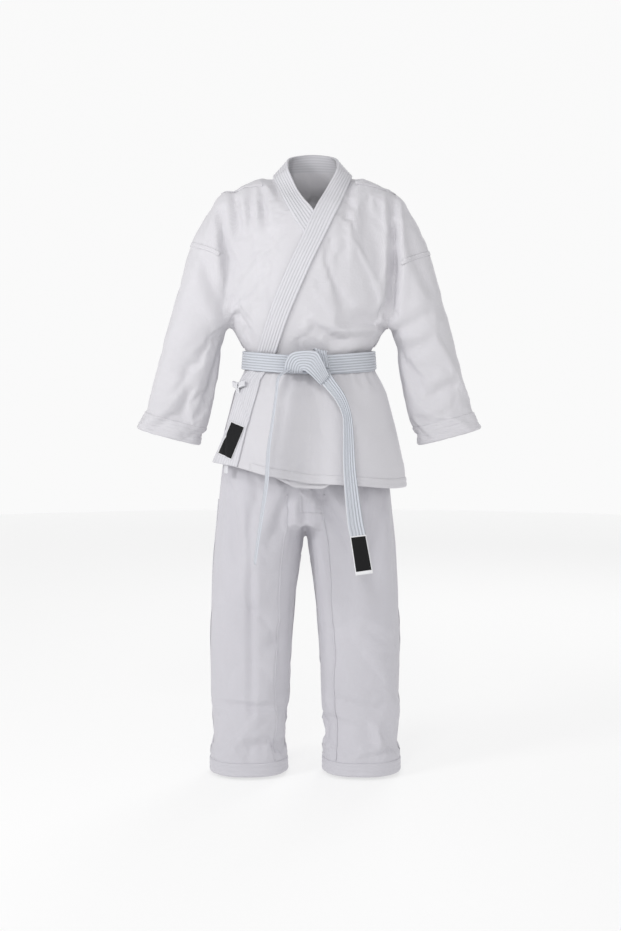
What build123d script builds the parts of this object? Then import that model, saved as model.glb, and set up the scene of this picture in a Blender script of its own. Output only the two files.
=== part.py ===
from build123d import *
import os
from math import atan2, cos, degrees, radians, sin

# Martial arts uniform, filled out as if it were worn: a crossover jacket with a lapel band, a flat
# belt knotted at the front, and loose trousers. Millimetres. +Z is up, the front faces -Y, and the
# wearer's left is +X. The origin is between the shoulders, at the height where they carry the jacket.
# Heights in the tables below are measured up from the trouser hems.

REST_HEIGHT = 1300.0  # from the trouser hems up to the shoulder rest

# Cloth
CANVAS = 2.4  # jacket and trouser cloth with its seams, as a stiff shell
BAND = 3.0  # folded and stitched bands: lapels, collar, cuffs and hems
WEBBING = 2.6  # belt
TAPE = 1.2  # side ties and hem facings
LABEL = 0.8
LAYER_GAP = 1.0  # air between two layers that lie on each other
SEAM_GAP = 1.0  # between the edges of neighbouring pieces
ROUNDNESS = 2.8  # 2 is an ellipse; more is boxier
SPANS = 16  # spans of a panel's edge curve
RING_POINTS = 24
TOOL_LENGTH = 700  # of the cutting shapes, longer than anything they cut

# Jacket trunk: height, half width, half depth, then how far across the front the crossing panel's
# free edge and its lapel seam lie, counted towards the wearer's left.
JACKET = [
    (640, 208, 144, -201, -176),
    (697, 203, 139, -199, -172),
    (781, 180, 128, -170, -140),
    (870, 161, 114, -148, -116),
    (908, 148, 104, -134, -100),
    (913, 140, 98, -130, -96),
    (955, 140, 98, -116, -74),
    (962, 150, 104, -114, -72),
    (1016, 172, 116, -97, -54),
    (1115, 182, 121, -60, -10),
    (1235, 186, 106, -5, 46),
    (1307, 184, 64, 33, 80),
    (1350, 92, 56, 57, 86),
]
GIRTH = [row[:3] for row in JACKET]
CROSSING_LAYER = BAND + CANVAS + 2 * LAYER_GAP  # how far the crossing panel stands off the other
FRONT_HEM_HEIGHT = 671  # of the crossing panel's hem, at the centre
HEM_RISE = 0.125  # that hem climbs this much per unit of width
INNER_HEM_HEIGHT = 652
BACK_HEM_HEIGHT = 648
HEM_BAND = 24
HEM_SHORT_OF_LAPEL = 0.6  # degrees between the hem band's end and the lapel
YOKE_HEIGHT = 1284  # lower edge of the shoulder yokes

# Armhole: height, and the angle from the side to the edge of the front and back panels
ARMHOLE = [(1016, 0.3), (1060, 10), (1115, 15), (1235, 16), (1307, 14)]

# Sleeves: height, then how far out their outer and inner edges lie, and half depth
SLEEVE = [
    (715, 401, 252, 48),
    (965, 333, 197, 60),
    (1008, 321, 190, 66),
    (1032, 315, 150, 70),
    (1198, 268, 110, 72),
    (1262, 236, 120, 64),
    (1306, 200, 140, 36),
]
ARMHOLE_REACH = 187  # how far out the sleeves begin
CUFF = ((384, 780), (246, 742))  # outer and inner corner of the sleeve's end, across and up
SHOULDER = (188, 1283)  # the sleeve's pivot, across and up
CAP_RADIUS = 111.5  # of the shoulder cap, round that pivot
CUFF_LENGTH = 42

# Collar: height, half width and half depth at its foot and its top
COLLAR = [(1353, 90, 56), (1393, 60, 48)]
COLLAR_START, COLLAR_END = -25, 205  # round the back of the neck

# Belt
BELT_LOW, BELT_HIGH = 914, 954
BELT_WIDTH = BELT_HIGH - BELT_LOW
BELT_LAYER = CROSSING_LAYER + BAND + 2 * LAYER_GAP
KNOT = (14, 927)  # centre of the knot, across and up
KNOT_WIDTH, KNOT_HEIGHT, KNOT_DEPTH = 62, 46, 24
KNOT_CORNER, KNOT_EDGE = 12, 7  # radii of its outline's corners and of its front edge
TAIL_FACE_DEPTH = 146  # in front of the body, where the tails leave the knot
TAIL_LEAN = 0.09  # tails lean forward over the skirt, per unit of height
TAIL_TOP = 898
LEFT_TAIL = [(40, 900), (80, 800), (92, 650), (104, 545), (124, 452)]
RIGHT_TAIL = [(-54, 900), (-74, 850), (-91, 731), (-106, 600), (-120, 482)]
TAIL_SPANS = 6  # spans of a tail's edge curve
BELT_LABEL_WIDTH, BELT_LABEL_LENGTH, BELT_LABEL_INSET = 34, 80, 6  # the inset is from the tail's end

# Side ties: height and angle of the bow, and the tapes that hang from the side seams
BOW_HEIGHT, BOW_ANGLE = 868, -152
BOW_STAND = 6  # from the lapel's layer out to the bow's middle
LOOP_REACH, LOOP_LENGTH, LOOP_DEPTH = 14, 12, 4.5  # of each of the bow's two loops
BOW_KNOT = (9, 10)
TIE_WIDTH = 13
# Tapes: lower and upper height, then the angles of the two edges
OUTER_TAPE = (678, 850, -163.5, -159.5)
INNER_TAPE = (748, 850, -9, -5)

# Jacket label: height, and where its two long edges lie across the front
JACKET_LABEL = [(712, -205, -179), (788, -176, -149)]

# Trousers: height, half width and half depth of the hips
HIPS = [(560, 200, 106), (690, 186, 104), (781, 166, 106), (870, 142, 96), (913, 124, 84), (968, 124, 84)]
TROUSER_MIDDLE = -9  # the trousers hang a little to the wearer's right
HIP_AXIS = 690
HIP_RADIUS = 115  # of the round boundary above which the cloth stays with the hips
LEG_RADIUS = 117
GUSSET_WIDTH, GUSSET_ANGLE = 64, 55
# Each leg: height, distance from the middle, half width, half depth
LEG = [(0, 126, 88, 74), (200, 125, 86, 78), (440, 119, 92, 86), (575, 104, 100, 100), (700, 104, 100, 100)]
LEG_HEM = 34
WAISTBAND_LOW, WAISTBAND_HIGH = 929, 968
ELASTIC_INSET = 5  # from the waistband's edges


def above_hem(height):
    """Z of a height measured from the trouser hems."""
    return height - REST_HEIGHT


def between(table, height):
    """The values of a table's row at any height; its rows are sorted by height."""
    for low, high in zip(table, table[1:]):
        if height <= high[0]:
            share = (height - low[0]) / (high[0] - low[0])
            return [a + (b - a) * share for a, b in zip(low[1:], high[1:])]
    return list(table[-1][1:])


def heights(table, lowest, highest):
    """A range's two ends with the table's own heights inside it."""
    inside = [row[0] for row in table if lowest + 1 < row[0] < highest - 1]
    return [lowest, *inside, highest]


def rim_point(half_width, half_depth, angle):
    """A point of a rounded rectangle; the angle turns from the wearer's left towards the back."""
    across, along = cos(radians(angle)), sin(radians(angle))
    flat = abs(across / half_width) ** ROUNDNESS + abs(along / half_depth) ** ROUNDNESS
    reach = flat ** (-1 / ROUNDNESS)
    return (reach * across, reach * along)


def front_angle(half_width, half_depth, across):
    """The angle of the front rim point that lies this far across."""
    depth = half_depth * max(0, 1 - abs(across / half_width) ** ROUNDNESS) ** (1 / ROUNDNESS)
    return degrees(atan2(-depth, across))


def curved_panel(rows, outward, thickness, middle=0.0):
    """Cloth that bends round the body: rows of height, half width, half depth, two end angles."""
    with BuildPart() as panel:
        for height, half_width, half_depth, first, last in rows:
            angles = [first + (last - first) * i / SPANS for i in range(SPANS + 1)]
            wide, deep = half_width + outward, half_depth + outward
            with BuildSketch(Plane((middle, 0, above_hem(height)))):
                with BuildLine():
                    face = Spline(*[rim_point(wide, deep, a) for a in angles])
                    lining = Spline(*[rim_point(wide - thickness, deep - thickness, a) for a in angles])
                    Line(face @ 0, lining @ 0)
                    Line(face @ 1, lining @ 1)
                make_face()
        loft(ruled=True)
    return panel.part


def closed_band(rows, outward, thickness, middle=0.0):
    """A band that closes round the body: rows of height, half width, half depth."""
    with BuildPart() as band:
        for shrink, mode in ((0, Mode.ADD), (thickness, Mode.SUBTRACT)):
            for height, half_width, half_depth in rows:
                wide, deep = half_width + outward - shrink, half_depth + outward - shrink
                points = [rim_point(wide, deep, 360 * i / RING_POINTS) for i in range(RING_POINTS)]
                with BuildSketch(Plane((middle, 0, above_hem(height)))):
                    with BuildLine():
                        Spline(*points, periodic=True)
                    make_face()
            loft(ruled=True, mode=mode)
    return band.part


def mirrored(side, angle):
    """An angle on the wearer's left, or its mirror image on the right."""
    return angle if side > 0 else 180 - angle


def trunk_rows(side, lowest, highest, first, last):
    """Rows of a jacket panel between two edges, each given as a function of the table row."""
    rows = []
    for height in heights(JACKET, lowest, highest):
        row = [height, *between(JACKET, height)]
        rows.append((*row[:3], mirrored(side, first(row)), mirrored(side, last(row))))
    return rows


def side_back(row):
    """Edge of the back panel: the side seam, then the armhole."""
    return ARMHOLE[0][1] if row[0] <= ARMHOLE[0][0] else between(ARMHOLE, row[0])[0]


def side_front(row):
    """Edge of the front panel, which mirrors the back panel's."""
    return -side_back(row)


def other_side_back(row):
    """Edge of the other back panel."""
    return 180 - side_back(row)


def free_edge(row):
    """Open edge of a front, with its lapel."""
    return front_angle(row[1], row[2], row[3])


def lapel_seam(row):
    """Seam between a front and its lapel."""
    return front_angle(row[1], row[2], row[4])


def centre_back(row):
    """Seam between the two halves of the back."""
    return 90 - degrees(SEAM_GAP / 2 / row[2])


def hem_plane(height, rise=0.0):
    """A plane along a hem that climbs towards the wearer's right."""
    return Plane((0, 0, above_hem(height)), x_dir=(1, 0, -rise), z_dir=(rise, 0, 1))


def finish(piece, name):
    """Label a piece and write it to its own file."""
    piece.part.label = name
    export_step(piece.part, f"parts/{name}.step")


os.makedirs("parts", exist_ok=True)
SKIRT_END, NECK = JACKET[0][0], JACKET[-1][0]
FRONTS = {
    "left": (1, CROSSING_LAYER, FRONT_HEM_HEIGHT, HEM_RISE),
    "right": (-1, 0, INNER_HEM_HEIGHT, 0),
}
SIDES = {"left": 1, "right": -1}

# Jacket fronts: the wearer's left one crosses over the right one
for name, (side, layer, hem, rise) in FRONTS.items():
    with BuildPart() as front_panel:
        add(curved_panel(trunk_rows(side, SKIRT_END, YOKE_HEIGHT, side_front, free_edge), layer, CANVAS))
        split(bisect_by=hem_plane(hem, rise), keep=Keep.TOP)
    finish(front_panel, f"{name}_front_panel")

    with BuildPart() as lapel:
        rows = trunk_rows(side, SKIRT_END, NECK, lapel_seam, free_edge)
        add(curved_panel(rows, layer + LAYER_GAP + BAND, BAND))
        split(bisect_by=hem_plane(hem, rise), keep=Keep.TOP)
    finish(lapel, f"{name}_lapel")

    with BuildPart() as front_hem:
        rows = trunk_rows(side, SKIRT_END, hem + 2 * HEM_BAND, side_front, lapel_seam)
        rows = [(*row[:4], row[4] + side * HEM_SHORT_OF_LAPEL) for row in rows]
        add(curved_panel(rows, layer + LAYER_GAP + TAPE, TAPE))
        split(bisect_by=hem_plane(hem, rise), keep=Keep.TOP)
        split(bisect_by=hem_plane(hem + HEM_BAND, rise), keep=Keep.BOTTOM)
    finish(front_hem, f"{name}_front_hem")

# Jacket back, in two halves, and the yokes that run over the shoulders from front to back
for name, side in SIDES.items():
    with BuildPart() as back_panel:
        rows = trunk_rows(side, BACK_HEM_HEIGHT, YOKE_HEIGHT - SEAM_GAP, side_back, centre_back)
        add(curved_panel(rows, 0, CANVAS))
    finish(back_panel, f"{name}_back_panel")

    with BuildPart() as shoulder_yoke:
        rows = trunk_rows(side, YOKE_HEIGHT + SEAM_GAP, NECK, lapel_seam, centre_back)
        add(curved_panel(rows, 0, CANVAS))
    finish(shoulder_yoke, f"{name}_shoulder_yoke")

with BuildPart() as back_hem:
    rows = trunk_rows(1, BACK_HEM_HEIGHT, BACK_HEM_HEIGHT + HEM_BAND, side_back, other_side_back)
    add(curved_panel(rows, LAYER_GAP + TAPE, TAPE))
finish(back_hem, "back_hem")

with BuildPart() as collar:
    rows = [(*row, COLLAR_START, COLLAR_END) for row in COLLAR]
    add(curved_panel(rows, 0, BAND))
finish(collar, "collar")


def cuff_plane(side, distance):
    """A plane across the sleeve, at a distance above its end."""
    (outer, high), (inner, low) = CUFF
    along = Vector(side * (outer - inner), 0, high - low)
    up_the_sleeve = Vector(0, -side, 0).cross(along)
    plane = Plane((side * inner, 0, above_hem(low)), x_dir=along, z_dir=up_the_sleeve)
    return plane.offset(distance)


def sleeve_shell(side, outward, thickness):
    """A hollow sleeve, open at the armhole and at the cuff."""
    with BuildPart() as shell:
        for shrink, mode in ((0, Mode.ADD), (thickness, Mode.SUBTRACT)):
            for height, outer, inner, half_depth in SLEEVE:
                level = min(height, SLEEVE[-1][0] - 2 * shrink)
                with BuildSketch(Plane((side * (outer + inner) / 2, 0, above_hem(level)))):
                    Ellipse((outer - inner) / 2 + outward - shrink, half_depth + outward - shrink)
            loft(ruled=True, mode=mode)
        split(bisect_by=Plane((side * ARMHOLE_REACH, 0, 0), z_dir=(side, 0, 0)), keep=Keep.TOP)
        split(bisect_by=cuff_plane(side, 0), keep=Keep.TOP)
    return shell.part


# Sleeves: a cap stays on the shoulder, and the sleeve swings round it
for name, side in SIDES.items():
    pivot = (side * SHOULDER[0], 0, above_hem(SHOULDER[1]))
    shell = sleeve_shell(side, 0, CANVAS)
    with BuildPart() as shoulder_cap:
        add(shell)
        with Locations(pivot):
            Cylinder(CAP_RADIUS, TOOL_LENGTH, rotation=(90, 0, 0), mode=Mode.INTERSECT)
    finish(shoulder_cap, f"{name}_shoulder_cap")

    with BuildPart() as sleeve:
        add(shell)
        with Locations(pivot):
            Cylinder(CAP_RADIUS + SEAM_GAP, TOOL_LENGTH, rotation=(90, 0, 0), mode=Mode.SUBTRACT)
    finish(sleeve, f"{name}_sleeve")

    with BuildPart() as cuff:
        add(sleeve_shell(side, LAYER_GAP + TAPE, TAPE))
        split(bisect_by=cuff_plane(side, CUFF_LENGTH), keep=Keep.BOTTOM)
    finish(cuff, f"{name}_cuff")

# Belt: two turns, the knot and the two tails, which hang in front of the skirt
for name, layer in (("belt_inner_wrap", BELT_LAYER), ("belt_outer_wrap", BELT_LAYER + WEBBING + LAYER_GAP)):
    with BuildPart() as belt_wrap:
        rows = [(height, *between(GIRTH, height)) for height in (BELT_LOW, BELT_HIGH)]
        add(closed_band(rows, layer + WEBBING, WEBBING))
    finish(belt_wrap, name)

belt_front = between(GIRTH, BELT_LOW)[1] + BELT_LAYER + 2 * (WEBBING + LAYER_GAP)
with BuildPart() as belt_knot:
    with BuildSketch(Plane((KNOT[0], -belt_front, above_hem(KNOT[1])), x_dir=(1, 0, 0), z_dir=(0, -1, 0))):
        RectangleRounded(KNOT_WIDTH, KNOT_HEIGHT, KNOT_CORNER)
    extrude(amount=KNOT_DEPTH)
    fillet(belt_knot.faces().sort_by(Axis.Y)[0].edges(), KNOT_EDGE)
finish(belt_knot, "belt_knot")

tail_plane = Plane((0, -TAIL_FACE_DEPTH, above_hem(TAIL_TOP)), x_dir=(1, 0, 0), z_dir=(0, -1, TAIL_LEAN))


def ribbon(route, width, amount):
    """A strip of webbing along a route in the tails' plane."""
    centre = Spline(*[(across, height - TAIL_TOP) for across, height in route])
    edges = []
    for sideways in (width / 2, -width / 2):
        steps = [i / TAIL_SPANS for i in range(TAIL_SPANS + 1)]
        edges.append([centre @ t + (centre % t).cross(Vector(0, 0, 1)) * sideways for t in steps])
    with BuildPart() as strip:
        with BuildSketch(tail_plane):
            with BuildLine():
                one, other = Spline(*edges[0]), Spline(*edges[1])
                Line(one @ 0, other @ 0)
                Line(one @ 1, other @ 1)
            make_face()
        extrude(amount=amount)
    return strip.part


with BuildPart() as left_belt_tail:
    add(ribbon(LEFT_TAIL, BELT_WIDTH, WEBBING))
finish(left_belt_tail, "left_belt_tail")

with BuildPart() as right_belt_tail:
    add(ribbon(RIGHT_TAIL, WEBBING, BELT_WIDTH))
finish(right_belt_tail, "right_belt_tail")

tail_end = Vector(LEFT_TAIL[-1][0], LEFT_TAIL[-1][1] - TAIL_TOP)
tail_end_run = Vector(LEFT_TAIL[-2][0], LEFT_TAIL[-2][1] - TAIL_TOP) - tail_end
label_middle = tail_end + tail_end_run.normalized() * (BELT_LABEL_INSET + BELT_LABEL_LENGTH / 2)
label_turn = degrees(atan2(tail_end_run.Y, tail_end_run.X))
with BuildPart() as belt_label:
    with BuildSketch(tail_plane.offset(WEBBING + LAYER_GAP / 2)):
        with Locations(Location((label_middle.X, label_middle.Y, 0), (0, 0, label_turn))):
            Rectangle(BELT_LABEL_LENGTH, BELT_LABEL_WIDTH)
    extrude(amount=LABEL)
finish(belt_label, "belt_label")

# Side ties: the bow on the wearer's right hip, and the tapes between the two fronts
bow_wide, bow_deep = between(GIRTH, BOW_HEIGHT)
bow_reach = CROSSING_LAYER + BAND + 4 * LAYER_GAP + BOW_STAND
bow_x, bow_y = rim_point(bow_wide + bow_reach, bow_deep + bow_reach, BOW_ANGLE)
with BuildPart() as outer_tie_bow:
    bow_plane = Plane((bow_x, bow_y, above_hem(BOW_HEIGHT)), x_dir=(bow_y, -bow_x, 0), z_dir=(0, 0, 1))
    with BuildSketch(bow_plane):
        with Locations((-LOOP_REACH, 0), (LOOP_REACH, 0)):
            Ellipse(LOOP_LENGTH, LOOP_DEPTH)
            Ellipse(LOOP_LENGTH - TAPE, LOOP_DEPTH - TAPE, mode=Mode.SUBTRACT)
        Rectangle(*BOW_KNOT)
    extrude(amount=TIE_WIDTH)
finish(outer_tie_bow, "outer_tie_bow")

for name, route in (("outer_tie_tape", OUTER_TAPE), ("inner_tie_tape", INNER_TAPE)):
    low, high, first, last = route
    with BuildPart() as tie_tape:
        rows = [(h, *between(GIRTH, h), first, last) for h in heights(GIRTH, low, high)]
        add(curved_panel(rows, LAYER_GAP * 2 + TAPE * 1.5, TAPE))
    finish(tie_tape, name)

with BuildPart() as jacket_label:
    label_layer = CROSSING_LAYER + BAND + 2 * LAYER_GAP + LABEL
    rows = []
    for height, one, other in JACKET_LABEL:
        wide, deep = between(GIRTH, height)
        reach = [front_angle(wide + label_layer, deep + label_layer, across) for across in (one, other)]
        rows.append((height, wide, deep, *reach))
    add(curved_panel(rows, label_layer, LABEL))
finish(jacket_label, "jacket_label")

# Trousers: two hip panels and the waistband, above a round boundary that the legs swing under
with BuildPart() as leg_space:
    with Locations((TROUSER_MIDDLE, 0, above_hem(HIP_AXIS))):
        Box(TOOL_LENGTH, TOOL_LENGTH, TOOL_LENGTH, align=(Align.CENTER, Align.CENTER, Align.MAX))
        Cylinder(HIP_RADIUS, TOOL_LENGTH, rotation=(0, 90, 0), mode=Mode.SUBTRACT)

for name, side in SIDES.items():
    with BuildPart() as hip_panel:
        rows = []
        for height in heights(HIPS, HIPS[0][0], WAISTBAND_LOW - SEAM_GAP):
            wide, deep = between(HIPS, height)
            seam = 90 - degrees(SEAM_GAP / 2 / deep)
            rows.append((height, wide, deep, mirrored(side, -seam), mirrored(side, seam)))
        add(curved_panel(rows, 0, CANVAS, TROUSER_MIDDLE))
        add(leg_space.part, mode=Mode.SUBTRACT)
    finish(hip_panel, f"{name}_hip_panel")

with BuildPart() as waistband:
    rows = [(height, *between(HIPS, height)) for height in (WAISTBAND_LOW, WAISTBAND_HIGH)]
    add(closed_band(rows, 0, CANVAS, TROUSER_MIDDLE))
finish(waistband, "waistband")

with BuildPart() as waist_elastic:
    ends = (WAISTBAND_LOW + ELASTIC_INSET, WAISTBAND_HIGH - ELASTIC_INSET)
    rows = [(height, *between(HIPS, height)) for height in ends]
    add(closed_band(rows, -CANVAS - LAYER_GAP, TAPE, TROUSER_MIDDLE))
finish(waist_elastic, "waist_elastic")

with BuildPart() as crotch_gusset:
    with BuildSketch(Plane.YZ.offset(TROUSER_MIDDLE - GUSSET_WIDTH / 2)):
        with BuildLine():
            centre = (0, above_hem(HIP_AXIS))
            radius = HIP_RADIUS - LAYER_GAP
            face = CenterArc(centre, radius, 270 - GUSSET_ANGLE, 2 * GUSSET_ANGLE)
            lining = CenterArc(centre, radius - CANVAS, 270 - GUSSET_ANGLE, 2 * GUSSET_ANGLE)
            Line(face @ 0, lining @ 0)
            Line(face @ 1, lining @ 1)
        make_face()
    extrude(amount=GUSSET_WIDTH)
finish(crotch_gusset, "crotch_gusset")

# Legs, each with a doubled hem
for name, side in SIDES.items():
    with BuildPart() as leg:
        for shrink, mode in ((0, Mode.ADD), (CANVAS, Mode.SUBTRACT)):
            for height, reach, wide, deep in LEG:
                middle = TROUSER_MIDDLE + side * reach
                with BuildSketch(Plane((middle, 0, above_hem(height)))):
                    Ellipse(wide - shrink, deep - shrink)
            loft(ruled=True, mode=mode)
        with Locations((TROUSER_MIDDLE, 0, above_hem(HIP_AXIS))):
            Cylinder(LEG_RADIUS, TOOL_LENGTH, rotation=(0, 90, 0), mode=Mode.SUBTRACT)
    finish(leg, f"{name}_leg")

    with BuildPart() as leg_hem:
        for shrink, mode in ((0, Mode.ADD), (TAPE, Mode.SUBTRACT)):
            for height in (0, LEG_HEM):
                reach, wide, deep = between(LEG, height)
                middle = TROUSER_MIDDLE + side * reach
                with BuildSketch(Plane((middle, 0, above_hem(height)))):
                    grow = LAYER_GAP + TAPE - shrink
                    Ellipse(wide + grow, deep + grow)
            loft(ruled=True, mode=mode)
    finish(leg_hem, f"{name}_leg_hem")
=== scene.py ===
from math import atan2, cos, pi, radians, sin, sqrt

import bmesh
import bpy
import numpy as np
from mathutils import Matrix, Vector
from mathutils.bvhtree import BVHTree
from mathutils import noise


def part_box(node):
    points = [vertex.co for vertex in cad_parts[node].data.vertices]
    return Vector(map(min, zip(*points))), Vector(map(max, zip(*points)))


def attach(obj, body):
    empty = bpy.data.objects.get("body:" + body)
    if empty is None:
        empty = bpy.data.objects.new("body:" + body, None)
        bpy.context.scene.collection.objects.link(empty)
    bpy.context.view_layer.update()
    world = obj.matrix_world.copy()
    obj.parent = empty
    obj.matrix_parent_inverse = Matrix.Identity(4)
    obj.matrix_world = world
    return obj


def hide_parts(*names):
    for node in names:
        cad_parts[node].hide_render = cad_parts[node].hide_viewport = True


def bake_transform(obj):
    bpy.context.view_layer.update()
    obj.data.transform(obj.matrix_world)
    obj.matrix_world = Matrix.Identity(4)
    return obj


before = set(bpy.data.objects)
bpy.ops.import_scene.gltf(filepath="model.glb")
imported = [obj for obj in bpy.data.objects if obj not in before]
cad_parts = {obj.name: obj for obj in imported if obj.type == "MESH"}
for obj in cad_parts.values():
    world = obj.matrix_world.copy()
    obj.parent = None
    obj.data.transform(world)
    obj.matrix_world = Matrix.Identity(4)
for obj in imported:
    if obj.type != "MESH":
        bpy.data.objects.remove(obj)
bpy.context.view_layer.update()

# ---------------------------------------------------------------- places, from the frame
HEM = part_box("left_leg")[0][2]  # height of the trouser hems
BELT_LOW, BELT_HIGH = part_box("belt_inner_wrap")[0][2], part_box("belt_inner_wrap")[1][2]
BELT_MIDDLE = (BELT_LOW + BELT_HIGH) / 2
CUFF_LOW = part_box("left_sleeve")[0][2]
COLLAR_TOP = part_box("collar")[1][2]
COLLAR_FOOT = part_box("collar")[0][2]
TROUSER_MIDDLE = (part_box("waistband")[0][0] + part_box("waistband")[1][0]) / 2
WAIST_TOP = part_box("waistband")[1][2]
TROUSER_NODES = ("waistband", "waist_elastic", "crotch_gusset")


def up(height):
    """Z of a height above the trouser hems."""
    return HEM + height


# ---------------------------------------------------------------- shape tables, metres
# Heights are above the trouser hems. Jacket trunk: height, half width, half depth
TRUNK = [
    (0.900, 0.138, 0.096),
    (0.932, 0.135, 0.093),
    (0.954, 0.139, 0.097),
    (0.974, 0.152, 0.110),
    (1.016, 0.170, 0.121),
    (1.080, 0.181, 0.128),
    (1.160, 0.187, 0.126),
    (1.230, 0.189, 0.112),
    (1.270, 0.190, 0.092),
    (1.294, 0.188, 0.072),
    (1.308, 0.174, 0.062),
    (1.322, 0.142, 0.058),
    (1.334, 0.106, 0.057),
    (1.344, 0.084, 0.056),
    (1.360, 0.078, 0.056),
    (1.400, 0.070, 0.050),
]
# Sleeve: height, how far out its outer and inner edges lie, half depth
SLEEVE = [
    (0.715, 0.403, 0.252, 0.044),
    (0.800, 0.380, 0.231, 0.050),
    (0.965, 0.335, 0.196, 0.060),
    (1.010, 0.322, 0.178, 0.066),
    (1.040, 0.313, 0.140, 0.072),
    (1.120, 0.290, 0.110, 0.076),
    (1.198, 0.267, 0.105, 0.072),
    (1.250, 0.241, 0.105, 0.064),
    (1.286, 0.212, 0.110, 0.050),
    (1.303, 0.186, 0.120, 0.034),
]
CUFF_SPOT, CUFF_FACING = Vector((0.315, 0, 0.761)), Vector((0.262, 0, -0.965))
# Skirt below the belt: height, half width, half depth
SKIRT = [
    (0.630, 0.203, 0.139),
    (0.697, 0.199, 0.135),
    (0.781, 0.181, 0.127),
    (0.860, 0.162, 0.115),
    (0.900, 0.144, 0.101),
    (0.932, 0.134, 0.093),
]
ROUNDNESS = 2.6
# Hems of the skirt: how far across, height
OUTER_HEM = [(-0.211, 0.706), (-0.166, 0.702), (-0.101, 0.686), (0.002, 0.667), (0.067, 0.665), (0.190, 0.652)]
INNER_HEM = [(-0.205, 0.716), (-0.100, 0.694), (-0.050, 0.668), (-0.030, 0.657), (0.030, 0.655), (0.050, 0.668), (0.200, 0.664)]
BACK_HEM = [(-0.200, 0.704), (-0.080, 0.676), (0.200, 0.657)]
# Free edge and seam of the crossing lapel below the belt: height, across
SKIRT_EDGE = [(0.640, -0.2180), (0.706, -0.2080), (0.786, -0.1790), (0.889, -0.1480), (0.932, -0.1190)]
SKIRT_SEAM = [(0.640, -0.1770), (0.706, -0.1560), (0.786, -0.1360), (0.889, -0.1040), (0.932, -0.0780)]
# Crossing lapel above the belt, from the belt up: free edge across and height, seam across and height
OUTER_LAPEL = [
    (-0.1200, 0.920, -0.0790, 0.920),
    (-0.1113, 0.952, -0.0715, 0.946),
    (-0.0830, 1.042, -0.0425, 1.029),
    (-0.0417, 1.141, -0.0010, 1.125),
    (-0.0151, 1.195, 0.0250, 1.179),
    (0.0082, 1.249, 0.0520, 1.234),
    (0.0334, 1.295, 0.0770, 1.288),
]
# Inner lapel, from the crossing up
INNER_LAPEL = [
    (0.0230, 1.234, -0.0060, 1.200),
    (0.0090, 1.258, -0.0270, 1.230),
    (-0.0105, 1.281, -0.0450, 1.262),
    (-0.0238, 1.301, -0.0590, 1.289),
]
# Collar, from the wearer's left round the back: top edge and foot, each across, depth and height
COLLAR_HALF = [
    ((0.0526, -0.045, 1.3468), (0.0845, -0.026, 1.3290)),
    ((0.0534, 0.000, 1.3730), (0.0855, 0.006, 1.3385)),
    ((0.0400, 0.036, 1.3860), (0.0620, 0.047, 1.3420)),
    ((0.0000, 0.050, 1.3920), (0.0000, 0.061, 1.3440)),
]
NECK_SHIFT = 0.008  # the neck opening sits a little to the wearer's left
# Where the sleeves are sewn on: how far out and how high the seam's two ends lie, by side
SLEEVE_SEAM = {1: (0.268, 1.169, 0.188, 1.139), -1: (0.268, 1.190, 0.188, 1.161)}
ARM_FOLD = 0.187  # how far out the arm parts from the trunk
# Hips: height, half width, half depth
HIPS = [
    (0.566, 0.194, 0.088),
    (0.600, 0.197, 0.102),
    (0.690, 0.188, 0.106),
    (0.781, 0.164, 0.104),
    (0.870, 0.138, 0.092),
    (0.930, 0.120, 0.084),
    (0.970, 0.122, 0.084),
]
# Each leg: height, distance of its middle from the trousers' middle, half width, half depth
LEG = [
    (-0.020, 0.128, 0.088, 0.074),
    (0.020, 0.128, 0.088, 0.074),
    (0.200, 0.127, 0.088, 0.078),
    (0.300, 0.126, 0.089, 0.082),
    (0.414, 0.120, 0.092, 0.086),
    (0.482, 0.113, 0.097, 0.091),
    (0.550, 0.104, 0.100, 0.096),
    (0.660, 0.095, 0.094, 0.100),
]
VOXEL = 0.0085


def between(table, height):
    """The values of a table's row at any height."""
    rows = np.array(table)
    return [float(np.interp(height, rows[:, 0], column)) for column in rows.T[1:]]


# ---------------------------------------------------------------- mesh helpers
def new_object(name, vertices, faces, material=None, smooth=True):
    mesh = bpy.data.meshes.new(name)
    mesh.from_pydata([tuple(v) for v in vertices], [], faces)
    mesh.update()
    piece = bpy.data.objects.new(name, mesh)
    bpy.context.scene.collection.objects.link(piece)
    if smooth:
        mesh.shade_smooth()
    if material:
        mesh.materials.append(material)
    return piece


def points_of(piece):
    flat = np.empty(len(piece.data.vertices) * 3)
    piece.data.vertices.foreach_get("co", flat)
    return flat.reshape(-1, 3)


def move_points(piece, points):
    piece.data.vertices.foreach_set("co", np.asarray(points, float).ravel())
    piece.data.update()


def normals_of(piece):
    flat = np.empty(len(piece.data.vertices) * 3)
    piece.data.vertex_normals.foreach_get("vector", flat)
    return flat.reshape(-1, 3)


def bake(piece):
    """Apply every modifier on a piece."""
    bpy.context.view_layer.update()
    graph = bpy.context.evaluated_depsgraph_get()
    mesh = bpy.data.meshes.new_from_object(piece.evaluated_get(graph))
    old = piece.data
    piece.modifiers.clear()
    piece.data = mesh
    bpy.data.meshes.remove(old)
    mesh.name = piece.name
    return piece


def rounded_rim(half_width, half_depth, angles, roundness=2.6):
    """Points round a rounded rectangle; angle 0 is the wearer's left and -pi/2 the front."""
    across, along = np.cos(angles), np.sin(angles)
    flat = np.abs(across / half_width) ** roundness + np.abs(along / half_depth) ** roundness
    reach = flat ** (-1 / roundness)
    return reach * across, reach * along


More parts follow.
